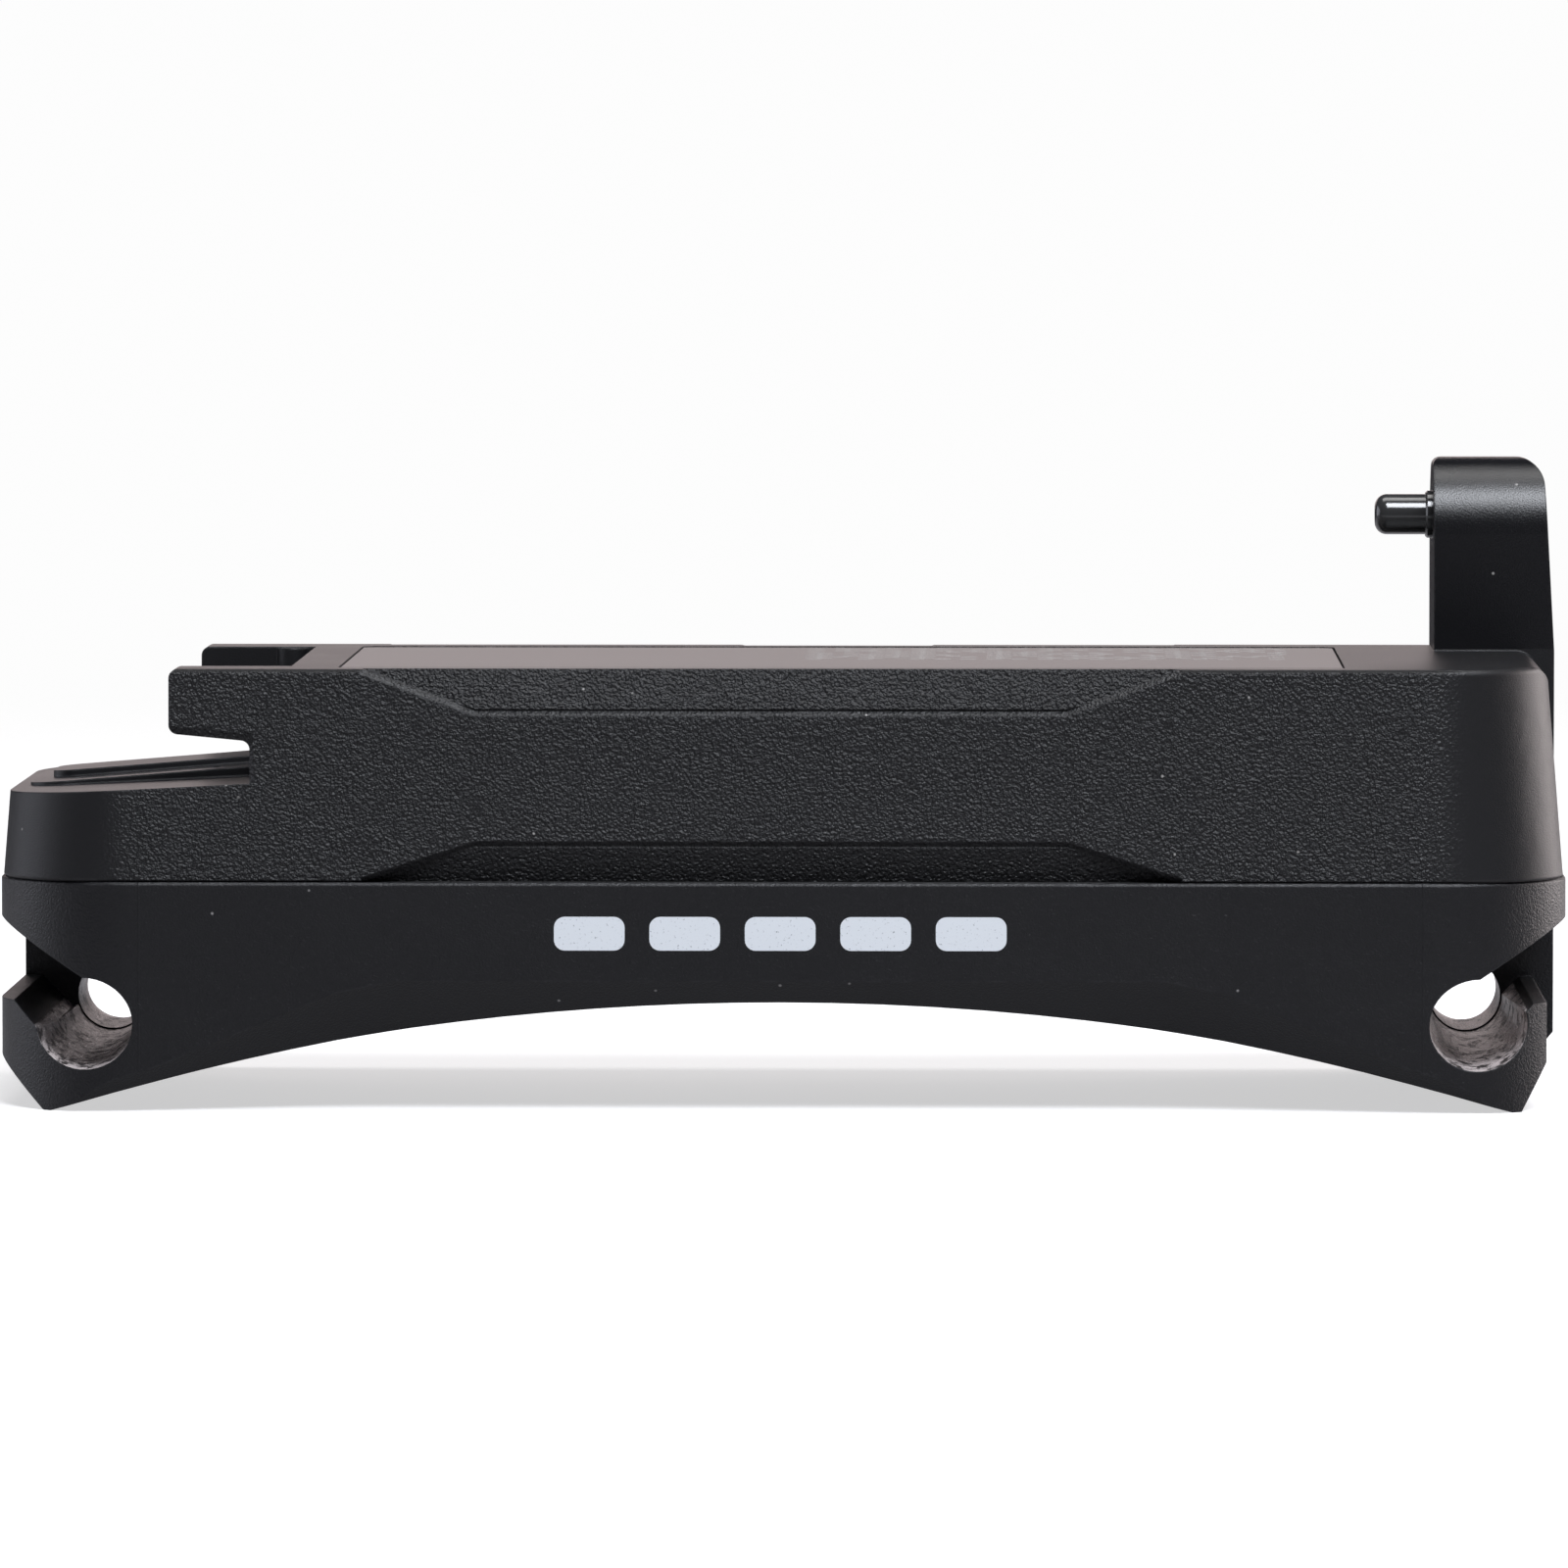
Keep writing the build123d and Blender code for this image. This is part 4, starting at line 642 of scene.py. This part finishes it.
# %% [markdown]
# The lower shell carries a pad-printed mark. Here it is a plain row of rounded bars, like the scale of
# a gauge, raised by the thickness of the ink. White ink on textured plastic is slightly broken up, so
# its colour has fine speckle.
# %% Printed bars on the lower shell
def white_ink():
    """Slightly speckled white ink."""
    material, tree, shader, normal = start("ink", 0.5, 0.02)
    place = add(tree, "ShaderNodeTexCoord").outputs["Object"]
    speck = add(tree, "ShaderNodeTexNoise", {"Vector": place, "Scale": 5200.0, "Detail": 3.0, "Roughness": 0.7})
    thin = ramp(tree, speck.outputs[0], 0.60, 0.72)
    feed(tree, blend_colour(tree, thin, (0.80, 0.84, 0.88, 1.0), (0.30, 0.32, 0.35, 1.0)), shader.inputs["Base Color"])
    relief(tree, shader, normal, (speck.outputs[0], 0.006))
    return material


def bar_mesh(width, height, thick, radius, steps=6):
    """A flat bar with round corners, standing in the XZ plane with its face toward -Y."""
    mesh = bmesh.new()
    corners = [(1, 1, 0), (-1, 1, 90), (-1, -1, 180), (1, -1, 270)]
    rim = []
    for sx, sz, first in corners:
        for step in range(steps + 1):
            angle = math.radians(first + 90 * step / steps)
            x = sx * (width / 2 - radius) + radius * math.cos(angle)
            z = sz * (height / 2 - radius) + radius * math.sin(angle)
            rim.append((x, z))
    front = [mesh.verts.new((x, -thick, z)) for x, z in rim]
    back = [mesh.verts.new((x, 0, z)) for x, z in rim]
    mesh.faces.new(front)
    mesh.faces.new(back[::-1])
    for i in range(len(rim)):
        after = (i + 1) % len(rim)
        mesh.faces.new((front[i], back[i], back[after], front[after]))
    bmesh.ops.recalc_face_normals(mesh, faces=mesh.faces)
    data = bpy.data.meshes.new("printed_bar")
    mesh.to_mesh(data)
    mesh.free()
    return data


BAR = {"count": 5, "width": 4.6 * MM, "height": 2.2 * MM, "gap": 1.6 * MM, "ink": 0.02 * MM}
bar = bpy.data.objects.new("bar_pattern", bar_mesh(BAR["width"], BAR["height"], BAR["ink"], 0.7 * MM))
bpy.context.scene.collection.objects.link(bar)
row = (BAR["count"] - 1) * (BAR["width"] + BAR["gap"])
bars = spread(
    "printed_scale", bar, white_ink(), (BAR["count"], 1), (row, 0.0),
    Vector((0, -side_y - 0.001 * MM, seam_z - 3.3 * MM)))
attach(bars, "case")
bpy.data.objects.remove(bar)
print("printed bars", BAR["count"], "over", round(row / MM, 1), "mm")

# %% [markdown]
# The studio is a wide sheet of pale paper under a bright room. Black plastic shows every light around
# it, so a white room would turn it grey. As in a real product studio, the paper and the room are
# white to the eye, and dark flags keep most of that light off the pack: a Light Path node gives the
# camera the white surface, and gives reflections and bounced light a darker one. The paper glows a
# little, like the diffuser of a light table, so the shadow under the pack stays soft and pale.
# %% Floor
def disc_mesh(radius, sides=96):
    """A flat round sheet with its centre on the origin, at the height of the feet."""
    mesh = bmesh.new()
    rims = []
    for share in (0.0, 0.25, 0.5, 1.0):
        if share == 0.0:
            rims.append([mesh.verts.new((0, 0, 0))])
            continue
        turns = [2 * math.pi * i / sides for i in range(sides)]
        rims.append([mesh.verts.new((radius * share * math.cos(t), radius * share * math.sin(t), 0)) for t in turns])
    for i in range(sides):
        after = (i + 1) % sides
        mesh.faces.new((rims[0][0], rims[1][i], rims[1][after]))
        for one, other in zip(rims[1:], rims[2:]):
            mesh.faces.new((one[i], other[i], other[after], one[after]))
    data = bpy.data.meshes.new("studio_paper")
    mesh.to_mesh(data)
    mesh.free()
    return data


def paper_finish():
    """White paper for the eye, grey paper for bounced light, faded out toward its rim and from below."""
    material = bpy.data.materials.new("studio_paper")
    material.use_nodes = True
    tree = material.node_tree
    shader = tree.nodes["Principled BSDF"]
    shader.inputs["Roughness"].default_value = 0.9
    shader.inputs["Specular IOR Level"].default_value = 0.1
    seen = add(tree, "ShaderNodeLightPath").outputs["Is Camera Ray"]
    white = blend_colour(tree, seen, (0.30, 0.295, 0.30, 1.0), (0.60, 0.595, 0.595, 1.0))
    feed(tree, white, shader.inputs["Base Color"])
    glow = blend_colour(tree, seen, (0.06, 0.06, 0.065, 1.0), (0.58, 0.58, 0.585, 1.0))
    feed(tree, glow, shader.inputs["Emission Color"])
    shader.inputs["Emission Strength"].default_value = 1.0
    place = add(tree, "ShaderNodeTexCoord").outputs["Object"]
    away = add(tree, "ShaderNodeVectorMath", {0: place}, operation="LENGTH").outputs["Value"]
    above = calc(tree, "SUBTRACT", 1.0, add(tree, "ShaderNodeNewGeometry").outputs["Backfacing"])
    feed(tree, calc(tree, "MULTIPLY", above, ramp(tree, away, 0.55, 0.12)), shader.inputs["Alpha"])
    return material


sheet = bpy.data.objects.new("studio_paper", disc_mesh(1.4))
bpy.context.scene.collection.objects.link(sheet)
sheet.data.materials.append(paper_finish())
print("paper ready")


# %% Lights and room
def softbox(name, place, target, size, watts, tint=(1.0, 1.0, 1.0)):
    """A rectangular area light that looks at a target and isn't seen itself."""
    data = bpy.data.lights.new(name, "AREA")
    data.shape = "RECTANGLE"
    data.size, data.size_y = size
    data.energy = watts
    data.color = tint
    light = bpy.data.objects.new(name, data)
    light.location = place
    light.rotation_euler = (Vector(target) - Vector(place)).to_track_quat("-Z", "Y").to_euler()
    light.visible_camera = False
    bpy.context.scene.collection.objects.link(light)
    return light


centre = Vector((0.0, 0.0, 0.02))
softbox("key", (0.20, -0.42, 0.72), centre, (0.50, 0.36), 9.6, (0.91, 0.94, 1.0))
softbox("over", (0.0, 0.12, 0.75), centre, (0.60, 0.30), 2.0, (1.0, 0.99, 0.985))
softbox("behind", (0.0, 0.62, 0.15), centre, (0.56, 0.20), 0.30, (1.0, 0.86, 0.85))
softbox("left", (-0.60, 0.10, 0.13), centre, (0.50, 0.30), 0.80, (0.88, 0.90, 1.0))
softbox("right", (0.53, 0.34, 0.13), centre, (0.50, 0.34), 2.60, (1.0, 0.91, 0.90))
world = bpy.data.worlds.new("room")
world.use_nodes = True
room = world.node_tree
eye = add(room, "ShaderNodeLightPath").outputs["Is Camera Ray"]
walls = blend_colour(room, eye, (0.050, 0.050, 0.056, 1.0), (0.98, 0.98, 0.98, 1.0))
feed(room, walls, room.nodes["Background"].inputs[0])
bpy.context.scene.world = world
bpy.context.scene.view_settings.view_transform = "Standard"

# %% [markdown]
# The camera stands far back with a long lens, a little above the pack, so both long edges of the top
# are seen as one thin band.
# %% Camera
lens = bpy.data.cameras.new("camera")
lens.sensor_width = 36.0
lens.lens = 285.8
camera = bpy.data.objects.new("camera", lens)
camera.location = (0.01625, -0.825, 0.06685)
aim = Vector((0.00025, -0.019, 0.02145))
camera.rotation_euler = (aim - camera.location).to_track_quat("-Z", "Y").to_euler()
bpy.context.scene.collection.objects.link(camera)
bpy.context.scene.camera = camera
print("camera distance", round((aim - camera.location).length, 3), "m")
